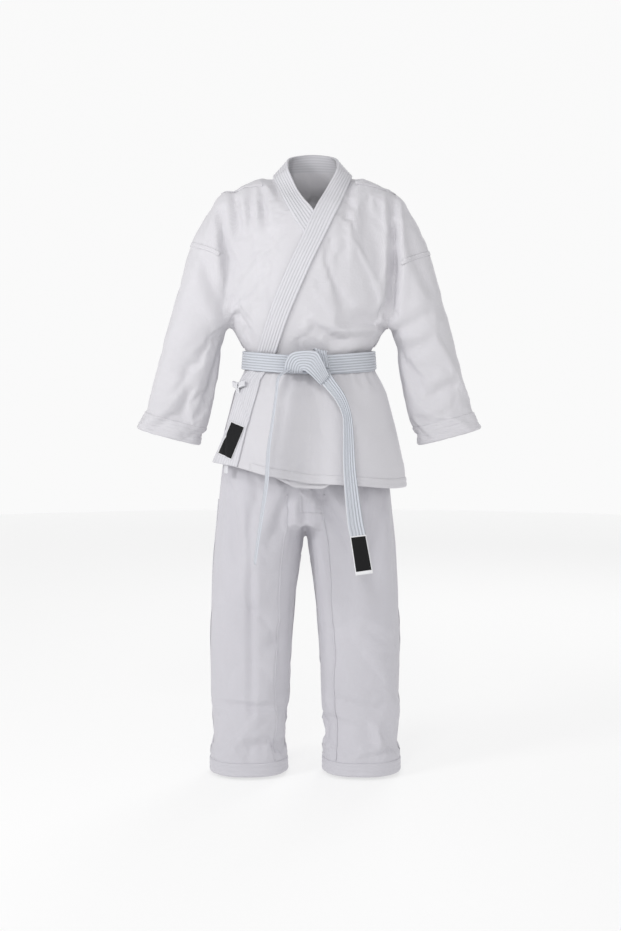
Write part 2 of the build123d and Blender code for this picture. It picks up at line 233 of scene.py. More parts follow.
def form(name, rings):
    """A closed solid through rings of the same number of points."""
    count = len(rings[0])
    vertices = [point for ring in rings for point in ring]
    faces = []
    for r in range(len(rings) - 1):
        for i in range(count):
            j = (i + 1) % count
            faces.append((r * count + i, r * count + j, (r + 1) * count + j, (r + 1) * count + i))
    faces.append(tuple(range(count))[::-1])
    faces.append(tuple((len(rings) - 1) * count + i for i in range(count)))
    return new_object(name, vertices, faces)


def smooth_rows(table, step=0.006):
    """The table's rows refilled at an even step, along smooth curves."""
    rows = np.array(table)
    heights = np.arange(rows[0, 0], rows[-1, 0] + step / 2, step)
    filled = [np.interp(heights, rows[:, 0], column) for column in rows.T[1:]]
    kernel = np.array([1, 2, 3, 2, 1]) / 9
    soft = [np.convolve(np.pad(c, 2, mode="edge"), kernel, mode="valid") for c in filled]
    return list(zip(heights, *soft))


def joined_form(name, forms):
    """One skin round several overlapping closed solids."""
    bpy.ops.object.select_all(action="DESELECT")
    for piece in forms:
        piece.select_set(True)
    bpy.context.view_layer.objects.active = forms[0]
    bpy.ops.object.join()
    skin = forms[0]
    skin.name = name
    remesh = skin.modifiers.new("skin", "REMESH")
    remesh.mode = "VOXEL"
    remesh.voxel_size = VOXEL
    soften = skin.modifiers.new("soften", "SMOOTH")
    soften.factor = 0.5
    soften.iterations = 6
    return bake(skin)


def cut(piece, point, normal, keep_if=None, only=None):
    """Cut along a plane and drop what lies on its normal's side, or what keep_if refuses."""
    mesh = bmesh.new()
    mesh.from_mesh(piece.data)
    faces = [f for f in mesh.faces if only is None or only(f.calc_center_median())]
    parts = list({v for f in faces for v in f.verts}) + list({e for f in faces for e in f.edges}) + faces
    bmesh.ops.bisect_plane(mesh, geom=parts, dist=1e-5, plane_co=point, plane_no=normal)
    point, normal = Vector(point), Vector(normal)
    gone = []
    for face in mesh.faces:
        centre = face.calc_center_median()
        if only is not None and not only(centre):
            continue
        if (centre - point).dot(normal) > 0 and (keep_if is None or not keep_if(centre)):
            gone.append(face)
    bmesh.ops.delete(mesh, geom=gone, context="FACES")
    mesh.to_mesh(piece.data)
    mesh.free()
    piece.data.update()


def tree_of(*pieces):
    """A search tree over the surfaces of some pieces, with their modifiers."""
    graph = bpy.context.evaluated_depsgraph_get()
    vertices, faces = [], []
    for piece in pieces:
        mesh = piece.evaluated_get(graph).to_mesh()
        start = len(vertices)
        vertices += [v.co.copy() for v in mesh.vertices]
        faces += [tuple(start + i for i in p.vertices) for p in mesh.polygons]
    return BVHTree.FromPolygons(vertices, faces)


def on_front(tree, x, z, lift=0.0):
    """The point of the front surface at this place across and up, lifted off it."""
    spot, normal, _, _ = tree.ray_cast(Vector((x, -1, z)), Vector((0, 1, 0)))
    if spot is None:
        spot, normal, _, _ = tree.find_nearest(Vector((x, -0.1, z)))
    if normal.y > 0:
        normal = -normal
    return spot + normal * lift, normal


def band(name, grid, normals, thickness, material, ridges=0, ridge=0.0004, depth=0.0002):
    """A sewn band over a grid of points, with stitched rows that run along it."""
    grid, normals = np.array(grid, float), np.array(normals, float)
    rows, columns = grid.shape[:2]
    share = np.linspace(0, 1, columns)
    rounding = np.clip(np.minimum(share, 1 - share) * columns / 1.5, 0, 1) ** 0.5
    height = thickness * (0.35 + 0.65 * rounding)
    if ridges:
        height = height - ridge * np.cos(2 * pi * ridges * share) * rounding
    top = grid + normals * height[None, :, None]
    bottom = grid - normals * depth
    vertices = np.concatenate([top.reshape(-1, 3), bottom.reshape(-1, 3)])
    under = rows * columns
    faces = []
    for r in range(rows - 1):
        for c in range(columns - 1):
            a, b, d, e = r * columns + c, r * columns + c + 1, (r + 1) * columns + c + 1, (r + 1) * columns + c
            faces.append((a, b, d, e))
            faces.append((under + e, under + d, under + b, under + a))
        for c in (0, columns - 1):
            a, e = r * columns + c, (r + 1) * columns + c
            faces.append((a, e, under + e, under + a) if c == 0 else (e, a, under + a, under + e))
    for r in (0, rows - 1):
        for c in range(columns - 1):
            a, b = r * columns + c, r * columns + c + 1
            faces.append((b, a, under + a, under + b) if r == 0 else (a, b, under + b, under + a))
    piece = new_object(name, vertices, faces, material)
    length = np.concatenate([[0], np.cumsum(np.linalg.norm(np.diff(grid[:, columns // 2], axis=0), axis=1))])
    width = np.linalg.norm(grid[rows // 2, -1] - grid[rows // 2, 0])
    uv = np.empty((rows * columns, 2))
    uv[:, 0] = np.repeat(length, columns)
    uv[:, 1] = np.tile(share * width, rows)
    uv = np.concatenate([uv, uv])
    layer = piece.data.uv_layers.new(name="cloth")
    for loop in piece.data.loops:
        layer.data[loop.index].uv = uv[loop.vertex_index]
    return piece


# ---------------------------------------------------------------- materials
def cloth_material(name, colour, weave=0.0018, strength=0.25, sheen=0.2, rough=0.85, tint=0.035, crumple=0.6, row=0.0, row_depth=0.1):
    """Woven cloth: threads both ways in the cloth's own coordinates, slubs, soft colour variation."""
    material = bpy.data.materials.new(name)
    material.use_nodes = True
    nodes, links = material.node_tree.nodes, material.node_tree.links
    shader = nodes["Principled BSDF"]
    shader.inputs["Roughness"].default_value = rough
    shader.inputs["Sheen Weight"].default_value = sheen
    shader.inputs["Sheen Roughness"].default_value = 0.5
    shader.inputs["Specular IOR Level"].default_value = 0.2
    where = nodes.new("ShaderNodeUVMap")
    where.uv_map = "cloth"

    def noise(scale, detail):
        cloud = nodes.new("ShaderNodeTexNoise")
        cloud.inputs["Scale"].default_value = scale
        cloud.inputs["Detail"].default_value = detail
        links.new(where.outputs["UV"], cloud.inputs["Vector"])
        return cloud.outputs["Fac"]

    def combine(operation, first, second, third=None):
        sum_of = nodes.new("ShaderNodeMath")
        sum_of.operation = operation
        for socket, value in zip(sum_of.inputs, (first, second, third)):
            if isinstance(value, float):
                socket.default_value = value
            elif value is not None:
                links.new(value, socket)
        return sum_of.outputs[0]

    threads = []
    for direction, pitch in (("X", weave), ("Y", weave * 0.9)):
        thread = nodes.new("ShaderNodeTexWave")
        thread.bands_direction = direction
        thread.inputs["Scale"].default_value = 2 * pi / pitch / 20
        thread.inputs["Distortion"].default_value = 1.5
        thread.inputs["Detail"].default_value = 1.0
        thread.inputs["Detail Scale"].default_value = 0.4
        links.new(where.outputs["UV"], thread.inputs["Vector"])
        threads.append(thread.outputs["Fac"])
    weft = combine("MAXIMUM", *threads)
    woven = combine("MULTIPLY_ADD", noise(300.0, 3), 0.8, weft)
    rumpled = combine("MULTIPLY_ADD", noise(28.0, 5), crumple * 24, woven)
    bump = nodes.new("ShaderNodeBump")
    bump.inputs["Strength"].default_value = strength
    bump.inputs["Distance"].default_value = 0.0005
    links.new(rumpled, bump.inputs["Height"])
    links.new(bump.outputs["Normal"], shader.inputs["Normal"])
    shades = nodes.new("ShaderNodeValToRGB")
    shades.color_ramp.elements[0].position = 0.3
    shades.color_ramp.elements[1].position = 0.7
    shades.color_ramp.elements[0].color = (*[c * (1 - tint) for c in colour], 1)
    shades.color_ramp.elements[1].color = (*colour, 1)
    links.new(noise(7.0, 4), shades.inputs["Fac"])
    grooves = nodes.new("ShaderNodeMix")
    grooves.data_type = "RGBA"
    grooves.blend_type = "MULTIPLY"
    grooves.inputs["Factor"].default_value = 0.08
    links.new(shades.outputs["Color"], grooves.inputs["A"])
    links.new(weft, grooves.inputs["B"])
    colour_out = grooves.outputs["Result"]
    if row:
        rows = nodes.new("ShaderNodeTexWave")
        rows.bands_direction = "Y"
        rows.inputs["Scale"].default_value = 2 * pi / row / 20
        links.new(where.outputs["UV"], rows.inputs["Vector"])
        stitched = nodes.new("ShaderNodeMix")
        stitched.data_type = "RGBA"
        stitched.blend_type = "MULTIPLY"
        stitched.inputs["Factor"].default_value = row_depth
        links.new(colour_out, stitched.inputs["A"])
        links.new(combine("POWER", rows.outputs["Fac"], 0.4), stitched.inputs["B"])
        colour_out = stitched.outputs["Result"]
    links.new(colour_out, shader.inputs["Base Color"])
    return material


JACKET_CLOTH = cloth_material("jacket_canvas", (0.64, 0.63, 0.66), crumple=0.9)
BAND_CLOTH = cloth_material(
    "band_canvas", (0.66, 0.655, 0.69), weave=0.0016, crumple=0.2, row=0.0425 / 7, row_depth=0.16
)
TROUSER_CLOTH = cloth_material("trouser_canvas", (0.58, 0.57, 0.61), weave=0.0016, crumple=0.9)
BELT_CLOTH = cloth_material(
    "belt_webbing", (0.61, 0.635, 0.69), weave=0.0014, sheen=0.3, rough=0.6, crumple=0.1, row=0.0405 / 7, row_depth=0.45
)
TAIL_CLOTH = cloth_material(
    "tail_webbing", (0.61, 0.635, 0.69), weave=0.0014, sheen=0.3, rough=0.6, crumple=0.1, row=0.027 / 6, row_depth=0.45
)
BELT_EDGE = cloth_material("belt_selvedge", (0.72, 0.73, 0.76), weave=0.0012, crumple=0.1)
TIE_CLOTH = cloth_material("tie_tape", (0.68, 0.68, 0.71), weave=0.0011, crumple=0.2)
LABEL_CLOTH = cloth_material("label_satin", (0.006, 0.006, 0.007), weave=0.0008, sheen=0.0, rough=0.6, tint=0.3, crumple=0.1)
LABEL_EDGE = cloth_material("label_border", (0.80, 0.80, 0.82), weave=0.0010, crumple=0.1)
ELASTIC_CLOTH = cloth_material("waist_elastic", (0.60, 0.60, 0.62), weave=0.0012, strength=0.4)


# ---------------------------------------------------------------- cloth coordinates and thickness
def wrap_cloth(piece, middle, along, start, radius):
    """Give a rolled piece cloth coordinates in metres: round an axis, and along it."""
    middle, along, start = Vector(middle), Vector(along).normalized(), Vector(start)
    start = (start - along * start.dot(along)).normalized()
    side = along.cross(start)
    spots = [v.co - middle for v in piece.data.vertices]
    turns = np.array([atan2(s.dot(side), s.dot(start)) for s in spots])
    down = np.array([s.dot(along) for s in spots])
    layer = piece.data.uv_layers.get("cloth") or piece.data.uv_layers.new(name="cloth")
    for face in piece.data.polygons:
        first = turns[face.vertices[0]]
        for loop in face.loop_indices:
            v = piece.data.loops[loop].vertex_index
            turn = turns[v]
            if turn - first > pi:
                turn -= 2 * pi
            elif first - turn > pi:
                turn += 2 * pi
            layer.data[loop].uv = (turn * radius, down[v])


def thicken(piece, thickness, rounds=0):
    """Give a one-sided piece the thickness of its cloth, inwards."""
    if rounds:
        fine = piece.modifiers.new("fine", "SUBSURF")
        fine.levels = fine.render_levels = rounds
    cloth = piece.modifiers.new("cloth", "SOLIDIFY")
    cloth.thickness = thickness
    cloth.offset = -1
    return bake(piece)


# ---------------------------------------------------------------- folds and cloth simulation
def crease(piece, folds, front=True):
    """Press folds into the front or back of a piece: across, height, across, height, width, depth."""
    points, normals = points_of(piece), normals_of(piece)
    facing = points[:, 1] < 0 if front else points[:, 1] > 0
    flat = points[:, [0, 2]]
    push = np.zeros(len(points))
    for x0, h0, x1, h1, width, depth in folds:
        start, end = np.array([x0, up(h0)]), np.array([x1, up(h1)])
        run = end - start
        share = np.clip((flat - start) @ run / (run @ run), 0, 1)
        away = np.linalg.norm(flat - start - share[:, None] * run, axis=1)
        taper = np.sin(pi * np.clip(share * 0.86 + 0.07, 0, 1)) ** 0.6
        trough = np.exp(-((away / width) ** 2))
        shoulders = 0.35 * np.exp(-(((away - 2.1 * width) / width) ** 2))
        push += 1.6 * depth * taper * (shoulders - trough)
    move_points(piece, points + normals * (push * facing)[:, None])


def settle(piece, pins, growth, cap, frames=14, weight=0.25):
    """A short cloth simulation: the cloth is a little too long, so it buckles between its pinned parts."""
    start = points_of(piece)
    group = piece.vertex_groups.new(name="pins")
    for index, hold in enumerate(pins(start)):
        if hold > 0:
            group.add([index], float(min(hold, 1)), "REPLACE")
    cloth = piece.modifiers.new("settle", "CLOTH")
    cloth.settings.quality = 4
    cloth.settings.mass = 0.25
    cloth.settings.air_damping = 2
    cloth.settings.tension_stiffness = 20
    cloth.settings.compression_stiffness = 20
    cloth.settings.shear_stiffness = 6
    cloth.settings.bending_stiffness = 1.0
    cloth.settings.shrink_min = -growth
    cloth.settings.vertex_group_mass = "pins"
    cloth.settings.effector_weights.gravity = weight
    cloth.collision_settings.use_self_collision = False
    cloth.point_cache.frame_start, cloth.point_cache.frame_end = 1, frames
    for frame_number in range(1, frames + 1):
        scene.frame_set(frame_number)
    graph = bpy.context.evaluated_depsgraph_get()
    shaped = piece.evaluated_get(graph).to_mesh()
    moved = np.empty(len(shaped.vertices) * 3)
    shaped.vertices.foreach_get("co", moved)
    moved = moved.reshape(-1, 3) - start
    piece.modifiers.remove(cloth)
    piece.vertex_groups.clear()
    scene.frame_set(1)
    length = np.linalg.norm(moved, axis=1, keepdims=True)
    moved *= np.minimum(1, cap / np.maximum(length, 1e-9))
    move_points(piece, start + moved)


def crumple(piece, reach, depth):
    """Faint sharp creases all over, as worn cotton takes them: the zero lines of a slow noise."""
    points, normals = points_of(piece), normals_of(piece)
    push = np.empty(len(points))
    for i, point in enumerate(points):
        spot = Vector((point[0], point[1], point[2] * 0.7)) / reach
        bent = spot + noise.noise_vector(spot * 0.6) * 0.5
        push[i] = max(0.0, 1 - 4 * abs(noise.noise(bent))) ** 2
    move_points(piece, points - normals * (depth * push)[:, None])


def ramp(value, low, high):
    """0 below low, 1 above high, and smooth between them."""
    share = np.clip((value - low) / (high - low), 0, 1)
    return share * share * (3 - 2 * share)


def copy_part(piece, name, keep):
    """A copy of a piece with only the faces whose middle passes the test."""
    part = piece.copy()
    part.data = piece.data.copy()
    part.name = part.data.name = name
    scene.collection.objects.link(part)
    mesh = bmesh.new()
    mesh.from_mesh(part.data)
    gone = [f for f in mesh.faces if not keep(f.calc_center_median())]
    bmesh.ops.delete(mesh, geom=gone, context="FACES")
    mesh.to_mesh(part.data)
    mesh.free()
    return part


def seam_line(piece, point, normal, only=None):
    """Add edges where a plane crosses a piece, so that it can be parted there cleanly."""
    cut(piece, point, normal, only=only, keep_if=lambda centre: True)


scene = bpy.context.scene
SIDES = {"left": 1, "right": -1}

# ---------------------------------------------------------------- jacket above the belt
def trunk_form():
    angles = np.linspace(0, 2 * pi, 96, endpoint=False)
    rings = []
    for height, wide, deep in smooth_rows(TRUNK):
        x, y = rounded_rim(wide, deep, angles)
        shift = NECK_SHIFT * np.clip((height - 1.25) / 0.08, 0, 1)
        rings.append([Vector(p) for p in zip(x + shift, y, np.full_like(x, up(height)))])
    return form("trunk_form", rings)


def sleeve_form(side):
    angles = np.linspace(0, 2 * pi, 64, endpoint=False)
    rings = []
    for height, outer, inner, deep in smooth_rows(SLEEVE):
        x, y = rounded_rim((outer - inner) / 2, deep, angles, 2.3)
        x = side * (x + (outer + inner) / 2)
        rings.append([Vector(p) for p in zip(x, y, np.full_like(x, up(height)))])
    return form("sleeve_form", rings)


def cuff_cut(side):
    """Point and outward normal of the plane across a sleeve's end."""
    spot = Vector((side * CUFF_SPOT.x, 0, up(CUFF_SPOT.z)))
    return spot, Vector((side * CUFF_FACING.x, 0, CUFF_FACING.z)).normalized()


JACKET_FRONT_FOLDS = [
    (-0.198, 1.262, -0.187, 1.181, 0.008, 0.005),
    (-0.165, 1.305, -0.153, 1.205, 0.008, 0.0045),
    (-0.122, 1.310, -0.136, 1.205, 0.008, 0.0045),
    (-0.105, 1.316, -0.097, 1.225, 0.008, 0.006),
    (-0.186, 1.200, -0.178, 1.070, 0.010, 0.007),
    (-0.245, 1.180, -0.178, 1.030, 0.016, 0.007),
    (-0.270, 0.920, -0.285, 0.800, 0.012, 0.004),
    (-0.330, 0.960, -0.230, 0.900, 0.014, 0.003),
    (0.184, 1.292, 0.188, 1.205, 0.009, 0.008),
    (0.188, 1.225, 0.190, 1.130, 0.010, 0.010),
    (0.190, 1.160, 0.180, 1.040, 0.011, 0.012),
    (0.125, 1.262, 0.122, 1.150, 0.014, 0.004),
    (0.140, 1.245, 0.150, 1.160, 0.013, 0.0035),
    (0.085, 1.300, 0.075, 1.200, 0.012, 0.003),
    (0.265, 0.975, 0.195, 0.950, 0.013, 0.004),
    (0.300, 1.060, 0.215, 1.010, 0.014, 0.004),
    (0.160, 1.040, 0.080, 1.010, 0.015, 0.004),
    (0.135, 0.985, 0.050, 0.972, 0.010, 0.004),
    (0.020, 1.000, 0.075, 0.968, 0.012, 0.004),
    (-0.150, 1.030, -0.125, 0.965, 0.010, 0.004),
    (0.340, 0.900, 0.262, 0.850, 0.014, 0.0035),
]
JACKET_BACK_FOLDS = [
    (-0.185, 1.250, -0.178, 1.060, 0.011, 0.007),
    (0.185, 1.250, 0.178, 1.060, 0.011, 0.007),
    (-0.090, 1.140, -0.060, 0.970, 0.016, 0.005),
    (0.090, 1.160, 0.055, 0.970, 0.016, 0.005),
    (-0.140, 1.060, -0.110, 0.965, 0.013, 0.005),
    (0.140, 1.060, 0.112, 0.965, 0.013, 0.005),
    (0.018, 1.100, 0.012, 0.968, 0.014, 0.004),
    (0.300, 1.020, 0.220, 0.960, 0.014, 0.004),
    (-0.300, 1.020, -0.220, 0.960, 0.014, 0.004),
    (0.330, 0.900, 0.262, 0.860, 0.014, 0.003),
    (-0.330, 0.900, -0.262, 0.860, 0.014, 0.003),
]
# The neck opening's two edges in front: a point on each and the direction that is cut away
NECK_LEFT = (Vector((0.0142, 0, up(1.249))), Vector((-0.0969, 0, 0.0524)).normalized())
NECK_RIGHT = (Vector((0.0035, 0, up(1.254))), Vector((0.0926, 0, 0.0555)).normalized())
CROSSING = (Vector((-0.098, 0, up(0.930))), Vector((0.305, 0, -0.098)).normalized())


def in_front(centre):
    return centre.y < 0


def at_neck(centre):
    return centre.y < 0 and centre.z > up(1.20)


jacket = joined_form("jacket", [trunk_form(), sleeve_form(1), sleeve_form(-1)])
cut(jacket, (0, 0, BELT_LOW + 0.010), (0, 0, -1), only=lambda c: abs(c.x) < 0.17)
cut(jacket, (0, 0, up(1.352)), (0, 0, 1))
for side in (1, -1):
    spot, facing = cuff_cut(side)
    cut(jacket, spot, facing, only=lambda c: abs(c.x) > 0.225 and c.z < up(0.86))
crease(jacket, JACKET_FRONT_FOLDS)
crease(jacket, JACKET_BACK_FOLDS, front=False)
crumple(jacket, 0.085, 0.0024)
closed_tree = tree_of(jacket)
for spot, facing in (NECK_LEFT, NECK_RIGHT):
    seam_line(jacket, spot, facing, at_neck)
cut(
    jacket, NECK_LEFT[0], NECK_LEFT[1], only=at_neck,
    keep_if=lambda c: (c - NECK_RIGHT[0]).dot(NECK_RIGHT[1]) <= 0,
)


def jacket_pins(points):
    """Held at the belt, the neck, the shoulders and the cuffs."""
    x, height = np.abs(points[:, 0]), points[:, 2] - HEM
    belt = 1 - ramp(height, 0.965, 1.01) * (x < 0.2) - (x >= 0.2)
    top = ramp(height - 0.0 * x, 1.27, 1.31)
    cuff = (1 - ramp(height + 0.27 * (0.39 - x), 0.775, 0.80)) * (x > 0.22)
    side = 0.2 * (1 - ramp(np.abs(x - ARM_FOLD), 0.01, 0.03)) * (height > 1.05)
    sewn = np.zeros(len(points))
    for spot, facing, lowest in ((*NECK_LEFT, 1.20), (*NECK_RIGHT, 1.20), (*CROSSING, 0.90)):
        away = np.abs((points - np.array(spot)) @ np.array(facing))
        held = (1 - ramp(away, 0.040, 0.060)) * (points[:, 1] < 0) * (height > lowest)
        sewn = np.maximum(sewn, held)
    return np.maximum.reduce([np.clip(belt, 0, 1), top, cuff, side, sewn])


settle(jacket, jacket_pins, growth=0.03, cap=0.009)
jacket.data.materials.append(JACKET_CLOTH)

for side in (1, -1):
    out_x, out_h, in_x, in_h = SLEEVE_SEAM[side]
    slope = Vector((side * (out_h - in_h), 0, -(out_x - in_x))).normalized()
    seam_line(jacket, (side * in_x, 0, up(in_h)), slope, lambda c: c.x * side > ARM_FOLD - 0.001)
    seam_line(jacket, (side * ARM_FOLD, 0, 0), (1, 0, 0), lambda c: c.x * side > 0.15)
seam_line(jacket, *CROSSING, in_front)
seam_line(jacket, (0, 0, 0), (1, 0, 0), lambda c: c.y > 0)


def sleeve_side(centre):
    """1 on the wearer's left sleeve, -1 on the right one, 0 on the trunk."""
    side = 1 if centre.x > 0 else -1
    out_x, out_h, in_x, in_h = SLEEVE_SEAM[side]
    across = abs(centre.x)
    seam = up(in_h) + (across - in_x) * (out_h - in_h) / (out_x - in_x)
    return side if across > ARM_FOLD and centre.z < seam else 0


def trunk_side(centre):
    """1 on the front that crosses over and the left half of the back, -1 on the others."""
    if centre.y < 0:
        return 1 if (centre - CROSSING[0]).dot(CROSSING[1]) > 0 else -1
    return 1 if centre.x > 0 else -1


def bend_at_shoulder(piece):
    """Bake a piece's transform into its mesh."""
    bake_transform(piece)


def place(piece, slot, body="uniform"):
    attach(piece, body)
    return piece


CANVAS = 0.0016  # thickness of the jacket's cloth
jacket_tree = tree_of(jacket)
jacket_parts = {}
for name, side in SIDES.items():
    body = copy_part(jacket, f"{name}_jacket_body", lambda c: sleeve_side(c) == 0 and trunk_side(c) == side)
    sleeve = copy_part(jacket, f"{name}_jacket_sleeve", lambda c: sleeve_side(c) == side)
    wrap_cloth(body, (0, 0, 0), (0, 0, 1), (0, 1, 0), 0.15)
    spot, facing = cuff_cut(side)
    wrap_cloth(sleeve, spot, facing, (0, 1, 0), 0.062)
    for piece in (body, sleeve):
        thicken(piece, CANVAS, 1)
        jacket_parts[piece.name] = piece
bpy.data.objects.remove(jacket)


# ---------------------------------------------------------------- skirt below the belt
def rim_height(table, across):
    rows = np.array(table)
    return np.interp(across, rows[:, 0], rows[:, 1])


def skirt_rim(height):
    rows = np.array(SKIRT)
    return [np.interp(height, rows[:, 0], column) for column in rows.T[1:]]


def layer_lift(height, lift):
    """How far a layer stands off: the belt presses the layers together."""
    return lift * (0.3 + 0.7 * np.clip((0.925 - height) / 0.05, 0, 1))


def skirt_angle(across, height, lift):
    """The angle on the front where the skirt's surface lies this far across."""
    wide, deep = skirt_rim(height)
    lift = layer_lift(height, lift)
    share = np.clip(np.abs(across) / (wide + lift), 0, 0.9999)
    return np.arctan2(-(deep + lift) * (1 - share**ROUNDNESS) ** (1 / ROUNDNESS), across)


def skirt_point(angle, height, lift):
    """A point of the skirt: all its layers share the same folds, so they never cross."""
    wide, deep = skirt_rim(height)
    lift = layer_lift(height, lift)
    x, y = rounded_rim(wide + lift, deep + lift, angle, ROUNDNESS)
    fall = np.clip((0.925 - height) / 0.26, 0, 1)
    fold = 0.0055 * fall * np.cos(7 * angle + 0.6 + 1.5 * fall) + 0.0035 * fall**2 * np.cos(13 * angle + 2.0)
    gather = 0.0022 * np.exp(-(((0.895 - height) / 0.022) ** 2)) * np.cos(31 * angle + 0.8 * np.sin(3 * angle))
    slant = np.sin(3.7 * angle + 19 * height + 1.2 * np.sin(5 * angle)) + 0.35 * np.sin(11 * angle - 31 * height)
    wrinkle = -0.0021 * np.minimum(1, 4 * fall) * np.maximum(0, 1 - 2.6 * np.abs(slant)) ** 2
    reach = np.hypot(x, y)
    push = 1 + (fold + gather + wrinkle) / reach
    return np.stack(np.broadcast_arrays(x * push, y * push, up(height)), axis=-1)


def facing_out(grid):
    """Outward unit normals of a grid of points that goes round the body."""
    down = np.gradient(grid, axis=0)
    round_ = np.gradient(grid, axis=1)
    normals = np.cross(down, round_)
    lengths = np.linalg.norm(normals, axis=2)
    normals /= np.maximum(lengths, 1e-12)[..., None]
    for row, column in np.argwhere(lengths < 1e-12):
        normals[row, column] = normals[row - 1, column]
    outward = np.sum(normals[..., :2] * grid[..., :2])
    return -normals if outward < 0 else normals


def skirt_panel(name, first, last, hem, lift, columns=70, rows=40):
    """A panel from under the belt to its hem; first and last give its edges' angles at a height."""
    share_down = np.linspace(0, 1, rows)[:, None]
    share_round = np.linspace(0, 1, columns)[None, :]
    height = 0.925 + (0.68 - 0.925) * share_down
    for _ in range(3):
        angle = first(height) + (last(height) - first(height)) * share_round
        x = skirt_point(angle, height, lift)[..., 0]
        height = 0.925 + (rim_height(hem, x[-1])[None, :] - 0.925) * share_down
    angle = first(height) + (last(height) - first(height)) * share_round
    grid = skirt_point(angle, height, lift)
    faces = []
    for r in range(rows - 1):
        for c in range(columns - 1):
            a = r * columns + c
            faces.append((a, a + columns, a + columns + 1, a + 1))
    piece = new_object(name, grid.reshape(-1, 3), faces, JACKET_CLOTH)
    if facing_out(grid)[rows // 2, columns // 2].dot(np.array(piece.data.polygons[len(faces) // 2].normal)) < 0:
        piece.data.flip_normals()
    wrap_cloth(piece, (0, 0, 0), (0, 0, 1), (0, 1, 0), 0.17)
    thicken(piece, 0.0014, 1)
    return piece, grid


OUTER_LIFT, BACK_LIFT, INNER_LIFT = 0.0095, 0.0060, 0.0025


def vent(height):
    """Half the opening between the front and the back: they overlap above the side vents."""
    return radians(2) - radians(4) * ramp(height, 0.700, 0.790)


SKIRT_PANELS = {
    "left_front_skirt": (
        lambda h: skirt_angle(rim_height(SKIRT_EDGE, h) + 0.008, h, OUTER_LIFT), lambda h: -vent(h),
        OUTER_HEM, OUTER_LIFT,
    ),
    "right_front_skirt": (
        lambda h: vent(h) - pi, lambda h: skirt_angle(-rim_height(SKIRT_EDGE, h) - 0.03, h, INNER_LIFT),
        INNER_HEM, INNER_LIFT,
    ),
    "left_back_skirt": (vent, lambda h: 0 * h + pi / 2 - 0.001, BACK_HEM, BACK_LIFT),
    "right_back_skirt": (lambda h: 0 * h + pi / 2 + 0.001, lambda h: pi - vent(h), BACK_HEM, BACK_LIFT),
}
skirt_grids = {}
skirt_parts = {}
for name, facts in SKIRT_PANELS.items():
    skirt_parts[name], skirt_grids[name] = skirt_panel(name, *facts)
    place(skirt_parts[name], "jacket_canvas")


# ---------------------------------------------------------------- sewn bands
def smooth_path(points, count):
    """Evenly shared points along a smooth curve through some points."""
    points = np.array(points, float)
    padded = np.vstack([2 * points[0] - points[1], points, 2 * points[-1] - points[-2]])
    route = []
    for share in np.linspace(0, len(points) - 1.000001, count):
        i, t = int(share), share - int(share)
        a, b, c, d = padded[i : i + 4]
        route.append(
            0.5 * (2 * b + (c - a) * t + (2 * a - 5 * b + 4 * c - d) * t * t + (3 * b - a - 3 * c + d) * t**3)
        )
    return np.array(route)


def lapel_grid(table, tree, lift, rows, columns=57):
    """Rows across a lapel on the jacket's front."""
    grid, normals = [], []
    for x0, h0, x1, h1 in smooth_path(table, rows):
        line = []
        for share in np.linspace(0, 1, columns):
            x, height = x0 + (x1 - x0) * share, h0 + (h1 - h0) * share
            spot, normal = on_front(tree, x, up(height), lift)
            line.append(spot)
        grid.append(line)
    return np.array(grid)


def soften_grid(grid, rounds=6):
    """Even out a grid's bumps along and across it, but keep its borders."""
    for _ in range(rounds):
        inner = (grid[:-2, 1:-1] + grid[2:, 1:-1] + grid[1:-1, :-2] + grid[1:-1, 2:]) / 4
        grid[1:-1, 1:-1] = 0.5 * grid[1:-1, 1:-1] + 0.5 * inner
        grid[1:-1, 0] = 0.5 * grid[1:-1, 0] + 0.25 * (grid[:-2, 0] + grid[2:, 0])
        grid[1:-1, -1] = 0.5 * grid[1:-1, -1] + 0.25 * (grid[:-2, -1] + grid[2:, -1])
    return grid


def join_rows(first, second, count):
    """Rows that lead smoothly from one row to another."""
    share = np.linspace(0, 1, count + 2)[1:-1, None, None]
    return first[None] * (1 - share) + second[None] * share


STITCH_ROWS = 7
ACROSS = 57  # points across a stitched band
collar_path = [(*top, *foot) for top, foot in COLLAR_HALF]
collar_path += [(-t[0], t[1], t[2], -f[0], f[1], f[2]) for t, f in COLLAR_HALF[-2::-1]]
collar_rows = smooth_path(collar_path, 80) + np.array([NECK_SHIFT, 0, HEM] * 2)
spread = np.linspace(0, 1, ACROSS)[None, :, None]
collar_grid = collar_rows[:, None, :3] * (1 - spread) + collar_rows[:, None, 3:] * spread
outer_grid = lapel_grid(OUTER_LAPEL, closed_tree, 0.0032, 90)
inner_grid = lapel_grid(INNER_LAPEL[::-1], closed_tree, 0.0003, 30)
neckband = np.concatenate([
    outer_grid, join_rows(outer_grid[-1], collar_grid[0], 10), collar_grid,
    join_rows(collar_grid[-1], inner_grid[0], 8), inner_grid,
])
neckband = soften_grid(neckband, 10)
neckband_facing = facing_out(neckband)
LAPEL_END, COLLAR_END = 104, 176  # rows of the neckband where its pieces are joined


